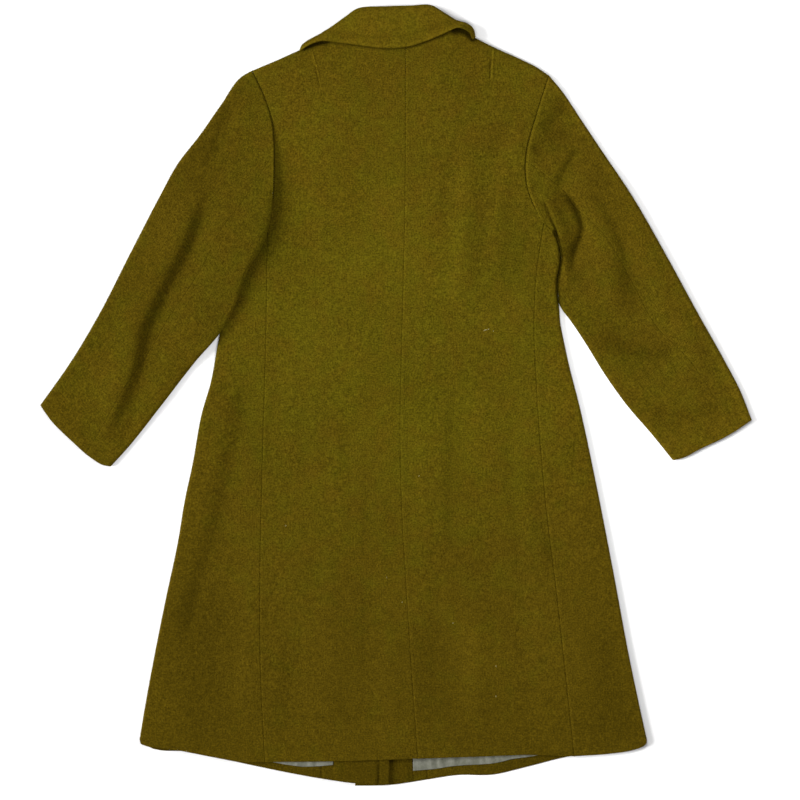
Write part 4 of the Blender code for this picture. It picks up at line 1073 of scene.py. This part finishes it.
class Nodes:
    """Short way to add and join the nodes of one tree."""

    def __init__(self, tree):
        self.tree = tree

    def add(self, kind, settings=None, **inputs):
        node = self.tree.nodes.new(kind)
        for name, value in (settings or {}).items():
            setattr(node, name, value)
        for name, value in inputs.items():
            self.put(node, name.replace("_", " "), value)
        return node

    def put(self, node, name, value):
        socket = node.inputs[int(name)] if name.isdigit() else node.inputs[name]
        if isinstance(value, bpy.types.NodeSocket):
            self.tree.links.new(value, socket)
        else:
            socket.default_value = value

    def sum(self, kind, first, second):
        node = self.add("ShaderNodeMath", {"operation": kind})
        self.put(node, "0", first)
        self.put(node, "1", second)
        return node.outputs[0]

    def scaled(self, coordinates, scale):
        mapping = self.add("ShaderNodeMapping", Vector=coordinates, Scale=scale)
        return mapping.outputs[0]

    def noise(self, coordinates, scale, detail, rough=0.5):
        made = self.add("ShaderNodeTexNoise", Vector=coordinates, Scale=scale, Detail=detail,
                        Roughness=rough)
        return made.outputs["Fac"]

    def spread(self, value, low, high, to_low, to_high):
        made = self.add("ShaderNodeMapRange", Value=value, From_Min=low, From_Max=high, To_Min=to_low,
                        To_Max=to_high)
        return made.outputs[0]

    def mix(self, share, first, second):
        node = self.add("ShaderNodeMix", {"data_type": "RGBA"})
        for index, value in ((0, share), (6, first), (7, second)):
            self.put(node, str(index), value)
        return node.outputs[2]

    def times(self, colour, share):
        node = self.add("ShaderNodeVectorMath", {"operation": "SCALE"})
        self.put(node, "0", colour)
        self.put(node, "Scale", share)
        return node.outputs[0]


def cloth_look(name, rough, gloss, sheen, sheen_rough, tint):
    look = bpy.data.materials.new(name)
    look.use_nodes = True
    shader = look.node_tree.nodes["Principled BSDF"]
    shader.inputs["Roughness"].default_value = rough
    shader.inputs["Specular IOR Level"].default_value = gloss
    shader.inputs["Sheen Weight"].default_value = sheen
    shader.inputs["Sheen Roughness"].default_value = sheen_rough
    shader.inputs["Sheen Tint"].default_value = (*tint, 1.0)
    return look, Nodes(look.node_tree), shader


def wool_look(colours):
    """Napped tweed: a loose plain weave, felted speckles and patches that lean to green or brown."""
    look, nodes, shader = cloth_look("olive_wool", 0.95, 0.0, 0.12, 0.5, (0.60, 0.46, 0.02))
    grain = nodes.add("ShaderNodeUVMap", {"uv_map": "grain"}).outputs[0]
    place = nodes.add("ShaderNodeTexCoord").outputs["Object"]
    warp = nodes.noise(nodes.scaled(grain, (*WEAVE, 1.0)), 1.0, 2.0)
    weft = nodes.noise(nodes.scaled(grain, (*WEAVE[::-1], 1.0)), 1.0, 2.0)
    threads = nodes.sum("ADD", warp, weft)
    speckle = nodes.noise(place, *SPECKLE)
    clumps = nodes.noise(place, *CLUMPS)
    patches = nodes.noise(place, *PATCHES)
    drift = nodes.noise(place, *DRIFT)
    on_coat = nodes.add("ShaderNodeSeparateXYZ", Vector=place).outputs
    height_on_coat = on_coat["Y"]
    from_centre = nodes.sum("ABSOLUTE", on_coat["X"], 0.0)
    hue = nodes.sum("ADD", nodes.spread(patches, 0.29, 0.71, 0.0, 1.0),
                    nodes.spread(height_on_coat, *HUE_UP))
    hue = nodes.sum("SUBTRACT", hue, nodes.spread(height_on_coat, *HUE_AT_SHOULDERS))
    hue = nodes.sum("SUBTRACT", hue, nodes.spread(from_centre, *HUE_AT_SIDES))
    colour = nodes.mix(hue, (*colours.brown, 1.0), (*colours.green, 1.0))
    flecks = nodes.noise(place, *FLECKS)
    tone = nodes.spread(threads, 0.7, 1.3, 0.78, 1.22)
    tone = nodes.sum("MULTIPLY", tone, nodes.spread(speckle, 0.25, 0.75, 0.80, 1.20))
    tone = nodes.sum("MULTIPLY", tone, nodes.spread(flecks, 0.25, 0.75, 0.58, 1.42))
    strength = nodes.sum("ADD", nodes.spread(height_on_coat, *GRAIN_UP),
                         nodes.spread(height_on_coat, *GRAIN_AT_COLLAR))
    tone = nodes.sum("ADD", nodes.sum("MULTIPLY", nodes.sum("SUBTRACT", tone, 1.0), strength), 1.0)
    tone = nodes.sum("MULTIPLY", tone, nodes.spread(clumps, 0.3, 0.7, 0.905, 1.095))
    tone = nodes.sum("MULTIPLY", tone, nodes.spread(drift, 0.3, 0.7, 0.94, 1.06))
    # Painted shade: darker towards the hem
    tone = nodes.sum("MULTIPLY", tone, nodes.spread(height_on_coat, *SHADE_TOWARDS_HEM))
    # Tone and painted light and shade carried by the pieces' points
    pressed = nodes.add("ShaderNodeAttribute", {"attribute_name": "tone_and_painted_shading"}).outputs["Fac"]
    tone = nodes.sum("MULTIPLY", tone, nodes.spread(pressed, *TONE_AND_SHADING_MAP))
    nodes.put(shader, "Base Color", nodes.times(colour, tone))
    height = nodes.sum("ADD", threads, nodes.sum("ADD", speckle, flecks))
    bump = nodes.add("ShaderNodeBump", Strength=0.45, Distance=0.0008, Height=height)
    nodes.put(shader, "Normal", bump.outputs[0])
    nodes.put(shader, "Roughness", nodes.spread(speckle, 0.2, 0.8, 1.0, 0.84))
    return look


def lining_look(colours):
    """Worn satin: fine weave, with painted highlights where it is crinkled."""
    look, nodes, shader = cloth_look("grey_lining", 0.6, 0.2, 0.1, 0.4, (0.8, 0.8, 0.7))
    grain = nodes.add("ShaderNodeUVMap", {"uv_map": "grain"}).outputs[0]
    place = nodes.add("ShaderNodeTexCoord").outputs["Object"]
    folds = nodes.noise(nodes.scaled(grain, (110.0, 60.0, 1.0)), 1.0, 3.0, 0.6)
    weave = nodes.noise(nodes.scaled(grain, (1500.0, 400.0, 1.0)), 1.0, 1.0)
    share = nodes.spread(folds, 0.40, 0.68, 0.0, 1.0)
    # Painted highlights: paler colour where the crinkles rise
    colour = nodes.mix(share, (*colours.lining, 1.0), (*colours.lining_light, 1.0))
    tone = nodes.spread(nodes.noise(place, 260.0, 2.0), 0.3, 0.7, 0.92, 1.08)
    nodes.put(shader, "Base Color", nodes.times(colour, tone))
    height = nodes.sum("ADD", folds, nodes.sum("MULTIPLY", weave, 0.15))
    bump = nodes.add("ShaderNodeBump", Strength=0.5, Distance=0.0012, Height=height)
    nodes.put(shader, "Normal", bump.outputs[0])
    nodes.put(shader, "Roughness", nodes.spread(folds, 0.3, 0.7, 0.64, 0.52))
    return look


def fibre_look(name, colour, rough):
    """Wool or lint fibre, a little lighter and darker from place to place."""
    look, nodes, shader = cloth_look(name, rough, 0.0, 0.1, 0.5, (0.6, 0.50, 0.10))
    place = nodes.add("ShaderNodeTexCoord").outputs["Object"]
    tone = nodes.spread(nodes.noise(place, 150.0, 2.0), 0.3, 0.7, 0.75, 1.25)
    plain = nodes.mix(0.0, (*colour, 1.0), (*colour, 1.0))
    nodes.put(shader, "Base Color", nodes.times(plain, tone))
    return look


def known_look(name, maker, *values):
    """The material of that name, made the first time it is asked for."""
    return bpy.data.materials.get(name) or maker(*values)


def wool_of(context):
    return known_look("olive_wool", wool_look, context.scene.coat_colours)


def geometry_tree(name, sockets):
    """A Geometry Nodes tree with named inputs, and the identifier of each."""
    tree = bpy.data.node_groups.new(name, "GeometryNodeTree")
    tree.interface.new_socket("Geometry", in_out="INPUT", socket_type="NodeSocketGeometry")
    known = {}
    for label, kind in sockets:
        known[label] = tree.interface.new_socket(label, in_out="INPUT", socket_type=kind).identifier
    tree.interface.new_socket("Geometry", in_out="OUTPUT", socket_type="NodeSocketGeometry")
    return tree, known


def finish_tree(nodes, instances, look):
    real = nodes.add("GeometryNodeRealizeInstances", Geometry=instances)
    painted = nodes.add("GeometryNodeSetMaterial", Geometry=real.outputs[0], Material=look)
    nodes.add("NodeGroupOutput", Geometry=painted.outputs[0])


def run_tree(name, data, tree, known, values, look):
    """The tree's result on a mesh, as a plain piece."""
    holder = bpy.data.objects.new(name + "_source", data)
    bpy.context.scene.collection.objects.link(holder)
    modifier = holder.modifiers.new(name, "NODES")
    modifier.node_group = tree
    for label, value in values.items():
        modifier[known[label]] = value
    ready = holder.evaluated_get(bpy.context.evaluated_depsgraph_get())
    made = bpy.data.meshes.new_from_object(ready)
    holder.modifiers.remove(modifier)
    bpy.data.objects.remove(holder)
    bpy.data.meshes.remove(data)
    if not len(made.polygons):
        raise RuntimeError(name + ": the tree made nothing")
    made.name = name
    return new_piece(name, made, look)


def stitch_tree():
    """Stitches laid end to end along lines."""
    tree, known = geometry_tree("seam_stitches", (
        ("Pitch", "NodeSocketFloat"), ("Length", "NodeSocketFloat"), ("Thread", "NodeSocketFloat"),
        ("Look", "NodeSocketMaterial")))
    nodes = Nodes(tree)
    given = nodes.add("NodeGroupInput").outputs
    lines = nodes.add("GeometryNodeMeshToCurve", Mesh=given["Geometry"])
    spaced = nodes.add("GeometryNodeResampleCurve", {"mode": "LENGTH"}, Curve=lines.outputs[0],
                       Length=given["Pitch"])
    thread = nodes.add("GeometryNodeMeshUVSphere", Segments=6, Rings=4, Radius=1.0)
    half = nodes.sum("MULTIPLY", given["Length"], 0.5)
    size = nodes.add("ShaderNodeCombineXYZ", X=given["Thread"], Y=given["Thread"], Z=half)
    turn = nodes.add("FunctionNodeAlignRotationToVector", {"axis": "Z"},
                     Vector=nodes.add("GeometryNodeInputTangent").outputs[0])
    laid = nodes.add("GeometryNodeInstanceOnPoints", Points=spaced.outputs[0], Instance=thread.outputs[0],
                     Rotation=turn.outputs[0], Scale=size.outputs[0])
    finish_tree(nodes, laid.outputs[0], given["Look"])
    return tree, known


def nap_tree():
    """Short fibres lying loosely on a cloth."""
    tree, known = geometry_tree("wool_nap", (("Density", "NodeSocketFloat"), ("Length", "NodeSocketFloat"),
                                             ("Thickness", "NodeSocketFloat"), ("Seed", "NodeSocketInt"),
                                             ("Look", "NodeSocketMaterial")))
    nodes = Nodes(tree)
    given = nodes.add("NodeGroupInput").outputs
    spots = nodes.add("GeometryNodeDistributePointsOnFaces", Mesh=given["Geometry"],
                      Density=given["Density"], Seed=given["Seed"])
    fibre = nodes.add("GeometryNodeMeshCone", {"fill_type": "NGON"}, Vertices=3, Radius_Top=0.0,
                      Radius_Bottom=given["Thickness"], Depth=given["Length"])
    turn = nodes.add("FunctionNodeRandomValue", {"data_type": "FLOAT_VECTOR"})
    nodes.put(turn, "0", (math.radians(NAP_LEAN[0]), 0.0, 0.0))
    nodes.put(turn, "1", (math.radians(NAP_LEAN[1]), 0.0, math.tau))
    lean = nodes.add("FunctionNodeEulerToRotation", Euler=turn.outputs[0])
    way = nodes.add("FunctionNodeRotateRotation", {"rotation_space": "LOCAL"},
                    Rotation=spots.outputs["Rotation"], Rotate_By=lean.outputs[0])
    size = nodes.add("FunctionNodeRandomValue", {"data_type": "FLOAT"})
    nodes.put(size, "2", NAP_SIZES[0])
    nodes.put(size, "3", NAP_SIZES[1])
    laid = nodes.add("GeometryNodeInstanceOnPoints", Points=spots.outputs["Points"],
                     Instance=fibre.outputs[0], Rotation=way.outputs[0], Scale=size.outputs[1])
    finish_tree(nodes, laid.outputs[0], given["Look"])
    return tree, known


def top_tree(node):
    """The outer face of a made piece, ready to be met by a straight look up or down."""
    outer, _ = made_tops[node]
    _, quads = grid_quads(*outer.shape[:2])
    return BVHTree.FromPolygons(outer.reshape(-1, 3).tolist(), quads.tolist())


def open_tops(nodes, covers):
    """One mesh of the upper faces of those pieces, without what lies under the covers."""
    trees = [(cover, top_tree(cover)) for cover in covers]
    points, faces, used = [], [], 0
    for node in nodes:
        outer, inside_out = made_tops[node]
        _, quads = grid_quads(*outer.shape[:2])
        if inside_out:
            quads = quads[:, ::-1]
        corners = outer.reshape(-1, 3)[quads]
        normals = np.cross(corners[:, 2] - corners[:, 0], corners[:, 3] - corners[:, 1])
        keep = normals[:, 2] > FACES_UP * np.maximum(1e-12, np.linalg.norm(normals, axis=-1))
        over = [tree for cover, tree in trees if cover != node]
        middles = corners.mean(axis=1)
        for index in np.flatnonzero(keep):
            start = Vector(middles[index]) + Vector((0.0, 0.0, FACE_ROOM))
            if any(tree.ray_cast(start, Vector((0.0, 0.0, 1.0)))[0] for tree in over):
                keep[index] = False
        points.append(outer.reshape(-1, 3))
        faces.append(quads[keep] + used)
        used += len(points[-1])
    data = bpy.data.meshes.new("open_tops")
    data.from_pydata(np.concatenate(points), [], np.concatenate(faces))
    return data


class COAT_OT_back(bpy.types.Operator):
    """Make the four back panels with their seams, darts and creases"""

    bl_idname = "coat.back_panels"
    bl_label = "Back panels"

    def execute(self, context):
        sizes = context.scene.coat_sizes
        look = wool_of(context)
        steps = (sizes.step_across, sizes.step_down)
        centre = Line(CENTRE_SEAM)
        left_seam, right_seam = Line(LEFT_SIDE_SEAM), Line(RIGHT_SIDE_SEAM)
        left_top = Joined(Line(LEFT_SHOULDER), Line(LEFT_NECK))
        right_top = Joined(Line(RIGHT_NECK), Line(RIGHT_SHOULDER))
        left_plan = Plan(Joined(Line(LEFT_ARMHOLE), left_seam), centre, left_top, Line(LEFT_HEM))
        right_plan = Plan(centre, Joined(Line(RIGHT_ARMHOLE), right_seam), right_top, Line(RIGHT_HEM))
        left_under = Line((LEFT_EDGE[0], LEFT_SIDE_SEAM[0]))
        right_under = Line((RIGHT_SIDE_SEAM[0], RIGHT_EDGE[0]))
        left_side = Plan(Line(LEFT_EDGE), left_seam, left_under, Line(LEFT_SIDE_HEM))
        right_side = Plan(right_seam, Line(RIGHT_EDGE), right_under, Line(RIGHT_SIDE_HEM))
        side_only = (SIDE_SHOWS, SIDE_SHOWS)
        for node, plan, left, right, shoulder, front, focus, shows in (
                ("back_centre_left", left_plan, "seam", "seam", (0.0, left_top.corner), "front_left",
                 LEFT_DART_FOCUS, (SIDE_SHOWS, CENTRE_SHOWS)),
                ("back_centre_right", right_plan, "seam", "seam", (right_top.corner, 1.0), "front_right",
                 RIGHT_DART_FOCUS, (CENTRE_SHOWS, SIDE_SHOWS)),
                ("back_side_left", left_side, "roll", "seam", NO_SHOULDER, "front_left", NO_FOCUS,
                 side_only),
                ("back_side_right", right_side, "seam", "roll", NO_SHOULDER, "front_right", NO_FOCUS,
                 side_only)):
            body_piece(node, plan, left, right, shoulder, collar_room, True, BACK_CREASES, sizes, steps,
                       look, focus, shows)
        return {"FINISHED"}


def front_plans():
    left_outline = Joined(Line(LEFT_ARMHOLE), Line((LEFT_ARMHOLE[-1], *LEFT_EDGE)))
    right_outline = Joined(Line(RIGHT_ARMHOLE), Line((RIGHT_ARMHOLE[-1], *RIGHT_EDGE)))
    left_top = Joined(Line(LEFT_SHOULDER), Line(LEFT_FRONT_NECK))
    right_top = Joined(Line(RIGHT_FRONT_NECK), Line(RIGHT_SHOULDER))
    left = Plan(left_outline, Line(LEFT_FRONT_EDGE), left_top, Line(LEFT_FRONT_HEM))
    right = Plan(Line(RIGHT_FRONT_EDGE), right_outline, right_top, Line(RIGHT_FRONT_HEM))
    return left, right, left_top.corner, right_top.corner


class COAT_OT_fronts(bpy.types.Operator):
    """Make the two fronts, which lie under the back and lap at the middle"""

    bl_idname = "coat.fronts"
    bl_label = "Fronts"

    def execute(self, context):
        sizes = context.scene.coat_sizes
        look = wool_of(context)
        steps = (sizes.hidden_step, sizes.hidden_step)
        left, right, left_corner, right_corner = front_plans()
        body_piece("front_left", left, "roll", "free", (0.0, left_corner), left_front_base, False,
                   UNDER_CREASES, sizes, steps, look, LEFT_LINE_FOCUS)
        body_piece("front_right", right, "free", "roll", (right_corner, 1.0), collar_room, False,
                   UNDER_CREASES, sizes, steps, look, RIGHT_LINE_FOCUS)
        return {"FINISHED"}


class COAT_OT_insides(bpy.types.Operator):
    """Make the facings and the lining, which show below the back hem"""

    bl_idname = "coat.facings_and_lining"
    bl_label = "Facings and lining"

    def execute(self, context):
        sizes = context.scene.coat_sizes
        wool = wool_of(context)
        satin = known_look("grey_lining", lining_look, context.scene.coat_colours)
        left, right, _, _ = front_plans()
        inset = EDGE_SETBACK / float(left.width(np.array(1.0)))
        hem = ((-1.0, EDGE_SETBACK), (1.0, EDGE_SETBACK))
        inside_piece("facing_left", left, (LEFT_FACING_FROM, 1.0 - inset), hem, left_front_base,
                     sizes.facing, FACING_LINES, 0.0, sizes, wool)
        inside_piece("facing_right", right, (inset, RIGHT_FACING_TO), hem, collar_room, sizes.facing,
                     FACING_LINES, 1.0, sizes, wool)
        inside_piece("lining_left", left, (LEFT_LINING_FROM, LEFT_FACING_FROM - inset), LEFT_LINING_RISE,
                     left_front_base, sizes.lining, LINING_CREASES, None, sizes, satin)
        inside_piece("lining_right", right, (RIGHT_FACING_TO + inset, RIGHT_LINING_TO), RIGHT_LINING_RISE,
                     collar_room, sizes.lining, LINING_CREASES, None, sizes, satin)
        return {"FINISHED"}


class COAT_OT_sleeves(bpy.types.Operator):
    """Make both two-piece sleeves with their folds"""

    bl_idname = "coat.sleeves"
    bl_label = "Sleeves"

    def execute(self, context):
        sizes = context.scene.coat_sizes
        look = wool_of(context)
        left = Plan(Line(LEFT_SLEEVE_OUTER), Line(LEFT_SLEEVE_INNER), Line(LEFT_SLEEVE_ARMHOLE),
                    Line(LEFT_CUFF), SLEEVE_HOLD)
        right = Plan(Line(RIGHT_SLEEVE_OUTER), Line(RIGHT_SLEEVE_INNER), Line(RIGHT_SLEEVE_ARMHOLE),
                     Line(RIGHT_CUFF), SLEEVE_HOLD)
        for side, plan, seam, folds, lift, under in (
                ("left", left, LEFT_ELBOW_SEAM, LEFT_SLEEVE_FOLDS, LEFT_SLEEVE_LIFT, ["back_side_left"]),
                ("right", right, RIGHT_ELBOW_SEAM, RIGHT_SLEEVE_FOLDS, RIGHT_SLEEVE_LIFT, [])):
            sleeve_piece("sleeve_upper_" + side, plan, seam, folds, lift, True, sizes, look)
            sleeve_piece("sleeve_under_" + side, plan, seam, folds, lift, False, sizes, look)
        return {"FINISHED"}


class COAT_OT_collar(bpy.types.Operator):
    """Make the collar and its hidden front ends"""

    bl_idname = "coat.collar"
    bl_label = "Collar"

    def execute(self, context):
        sizes = context.scene.coat_sizes
        look = wool_of(context)
        neck = Joined(Line(LEFT_NECK), Line(RIGHT_NECK))
        collar_piece("collar", neck, COLLAR_ROWS, COLLAR_ALONG, sizes.collar, COLLAR_BEND, NECK_ROOM, 1.0,
                     sizes, look)
        for node, line, rows in (("collar_front_left", LEFT_FRONT_NECK, LEFT_LEAF_ROWS),
                                 ("collar_front_right", RIGHT_FRONT_NECK, RIGHT_LEAF_ROWS)):
            collar_piece(node, Line(line), rows, LEAF_ALONG, sizes.front_collar, FRONT_BEND, FRONT_NECK_ROOM,
                         -1.0, sizes, look)
        return {"FINISHED"}


class COAT_OT_stitches(bpy.types.Operator):
    """Sew the seams: stitches along the bottom of each groove"""

    bl_idname = "coat.seam_stitches"
    bl_label = "Seam stitches"

    def execute(self, context):
        sizes = context.scene.coat_sizes
        colours = context.scene.coat_colours
        if "collar" not in made_tops:
            raise RuntimeError("make the panels, sleeves and collar first")
        paths = [made_seams["back_centre_left"][1], made_seams["back_centre_left"][0],
                 made_seams["back_centre_right"][1], made_seams["sleeve_upper_left"][0],
                 made_seams["sleeve_upper_right"][0]]
        points, edges, used = [], [], 0
        for path in paths:
            points.append(path - np.array((0.0, 0.0, sizes.thread)))
            number = np.arange(used, used + len(path))
            edges.append(np.stack((number[:-1], number[1:]), axis=-1))
            used += len(path)
        data = bpy.data.meshes.new("seam_lines")
        data.from_pydata(np.concatenate(points), np.concatenate(edges), [])
        look = known_look("olive_thread", fibre_look, "olive_thread", colours.thread, 0.8)
        tree, known = stitch_tree()
        piece = run_tree("seam_stitches", data, tree, known, {
            "Pitch": sizes.stitch_pitch, "Length": sizes.stitch_pitch * STITCH_SHARE, "Thread": sizes.thread,
            "Look": look}, look)
        dress(piece, None)
        return {"FINISHED"}


class COAT_OT_nap(bpy.types.Operator):
    """Raise the nap: short wool fibres over the open upper faces"""

    bl_idname = "coat.nap"
    bl_label = "Nap"

    def execute(self, context):
        sizes = context.scene.coat_sizes
        if "collar" not in made_tops:
            raise RuntimeError("make the panels, sleeves and collar first")
        data = open_tops(NAPPED, COVERS)
        look = known_look("wool_nap", fibre_look, "wool_nap", context.scene.coat_colours.nap, 0.9)
        tree, known = nap_tree()
        piece = run_tree("wool_nap", data, tree, known, {
            "Density": sizes.nap_density, "Length": sizes.nap_length, "Thickness": sizes.nap_thickness,
            "Seed": sizes.nap_seed, "Look": look}, look)
        dress(piece, None)
        return {"FINISHED"}


class COAT_OT_lint(bpy.types.Operator):
    """Lay the few pale bits of lint on the back"""

    bl_idname = "coat.lint"
    bl_label = "Lint"

    def execute(self, context):
        thick = 0.00030
        points, faces = [], []
        tops = [top_tree(node) for node in ("back_centre_left", "back_centre_right")]
        ring = np.radians(np.arange(5) * 72.0)
        for x, y, length, turn in LINT:
            above = Vector((x, y, 0.1))
            hits = [tree.ray_cast(above, Vector((0.0, 0.0, -1.0)))[0] for tree in tops]
            hits = [hit for hit in hits if hit]
            if not hits:
                raise RuntimeError("a bit of lint has no cloth under it")
            way = np.array((math.cos(math.radians(turn)), math.sin(math.radians(turn)), 0.0))
            side = np.array((-way[1], way[0], 0.0))
            first = len(points)
            for step, (share, bow, size) in enumerate(((-0.5, 0.0, 0.3), (-0.25, 0.5, 0.8), (0.0, 0.8, 1.0),
                                                       (0.25, 0.5, 0.8), (0.5, 0.0, 0.3))):
                middle = np.array(hits[0]) + way * share * length + side * bow * length * 0.18
                middle[2] += thick * 0.8
                for angle in ring:
                    points.append(middle + thick * size * (side * math.cos(angle)
                                                           + np.array((0.0, 0.0, math.sin(angle)))))
                if step:
                    for index in range(5):
                        after = (index + 1) % 5
                        low = first + (step - 1) * 5
                        faces.append((low + index, low + after, low + 5 + after, low + 5 + index))
            faces.append(tuple(first + index for index in (4, 3, 2, 1, 0)))
            faces.append(tuple(first + 20 + index for index in range(5)))
        data = bpy.data.meshes.new("lint")
        data.from_pydata(points, [], faces)
        data.shade_smooth()
        look = known_look("pale_lint", fibre_look, "pale_lint", context.scene.coat_colours.lint, 0.9)
        dress(new_piece("lint", data, look), None)
        return {"FINISHED"}


def aimed_light(data, place):
    """A light at that place, turned to the middle of the coat."""
    light = bpy.data.objects.new(data.name, data)
    light.location = place
    light.rotation_mode = "QUATERNION"
    light.rotation_quaternion = (-Vector(place)).to_track_quat("-Z", "Y")
    bpy.context.scene.collection.objects.link(light)
    return light


class COAT_OT_stage(bpy.types.Operator):
    """Set the pale floor, the soft light and the camera straight above"""

    bl_idname = "coat.stage"
    bl_label = "Stage"

    def execute(self, context):
        stage = context.scene.coat_stage
        floor_look = bpy.data.materials.new("pale_floor")
        floor_look.use_nodes = True
        shader = floor_look.node_tree.nodes["Principled BSDF"]
        shader.inputs["Base Color"].default_value = (*context.scene.coat_colours.floor, 1.0)
        shader.inputs["Roughness"].default_value = 0.9
        shader.inputs["Specular IOR Level"].default_value = 0.1
        data = bpy.data.meshes.new("floor")
        ways = ((-1.0, -1.0), (1.0, -1.0), (1.0, 1.0), (-1.0, 1.0))
        corners = [(x * FLOOR_REACH, y * FLOOR_REACH, 0.0) for x, y in ways]
        data.from_pydata(corners, [], [(0, 1, 2, 3)])
        new_piece("floor", data, floor_look)

        level = SUN_AWAY * math.cos(stage.key_height)
        for name, strength, way in (("key_light", stage.key, -1.0), ("side_light", stage.side, 1.0)):
            sun = bpy.data.lights.new(name, "SUN")
            sun.energy = strength
            sun.angle = stage.key_spread
            aimed_light(sun, (way * level, 0.0, SUN_AWAY * math.sin(stage.key_height)))
        fill = bpy.data.lights.new("fill_light", "AREA")
        fill.shape = "DISK"
        fill.size = FILL_SIZE
        fill.energy = stage.fill
        aimed_light(fill, FILL_PLACE)
        world = bpy.data.worlds.new("studio")
        world.use_nodes = True
        world.node_tree.nodes["Background"].inputs["Color"].default_value = (1.0, 1.0, 1.0, 1.0)
        world.node_tree.nodes["Background"].inputs["Strength"].default_value = stage.around
        context.scene.world = world
        context.scene.view_settings.view_transform = "Standard"

        camera_data = bpy.data.cameras.new("camera")
        camera_data.sensor_width = SENSOR
        camera_data.lens = camera_data.sensor_width * stage.camera_height / stage.view_width
        camera = bpy.data.objects.new("camera", camera_data)
        camera.location = (*CAMERA_OVER, stage.camera_height)
        context.scene.collection.objects.link(camera)
        context.scene.camera = camera
        return {"FINISHED"}


class COAT_PT_panel(bpy.types.Panel):
    """Sizes, colours and steps of the coat"""

    bl_idname = "COAT_PT_panel"
    bl_label = "Coat"
    bl_space_type = "VIEW_3D"
    bl_region_type = "UI"
    bl_category = "Coat"

    def draw(self, context):
        for group in (context.scene.coat_sizes, context.scene.coat_colours, context.scene.coat_stage):
            box = self.layout.box()
            for name in group.__annotations__:
                box.prop(group, name)
        for step in STEPS:
            self.layout.operator(step.bl_idname)


STEPS = (COAT_OT_stage, COAT_OT_back, COAT_OT_fronts, COAT_OT_insides, COAT_OT_sleeves, COAT_OT_collar,
         COAT_OT_stitches, COAT_OT_nap, COAT_OT_lint)
GROUPS = (("coat_sizes", CoatSizes), ("coat_colours", CoatColours), ("coat_stage", CoatStage))


def register():
    for name, group in GROUPS:
        bpy.utils.register_class(group)
        setattr(bpy.types.Scene, name, PointerProperty(type=group))
    for made in (*STEPS, COAT_PT_panel):
        bpy.utils.register_class(made)


def unregister():
    for made in (COAT_PT_panel, *reversed(STEPS)):
        bpy.utils.unregister_class(made)
    for name, group in reversed(GROUPS):
        delattr(bpy.types.Scene, name)
        bpy.utils.unregister_class(group)


def main():
    register()
    for step in STEPS:
        group, name = step.bl_idname.split(".")
        getattr(getattr(bpy.ops, group), name)()


if __name__ == "__main__":
    main()
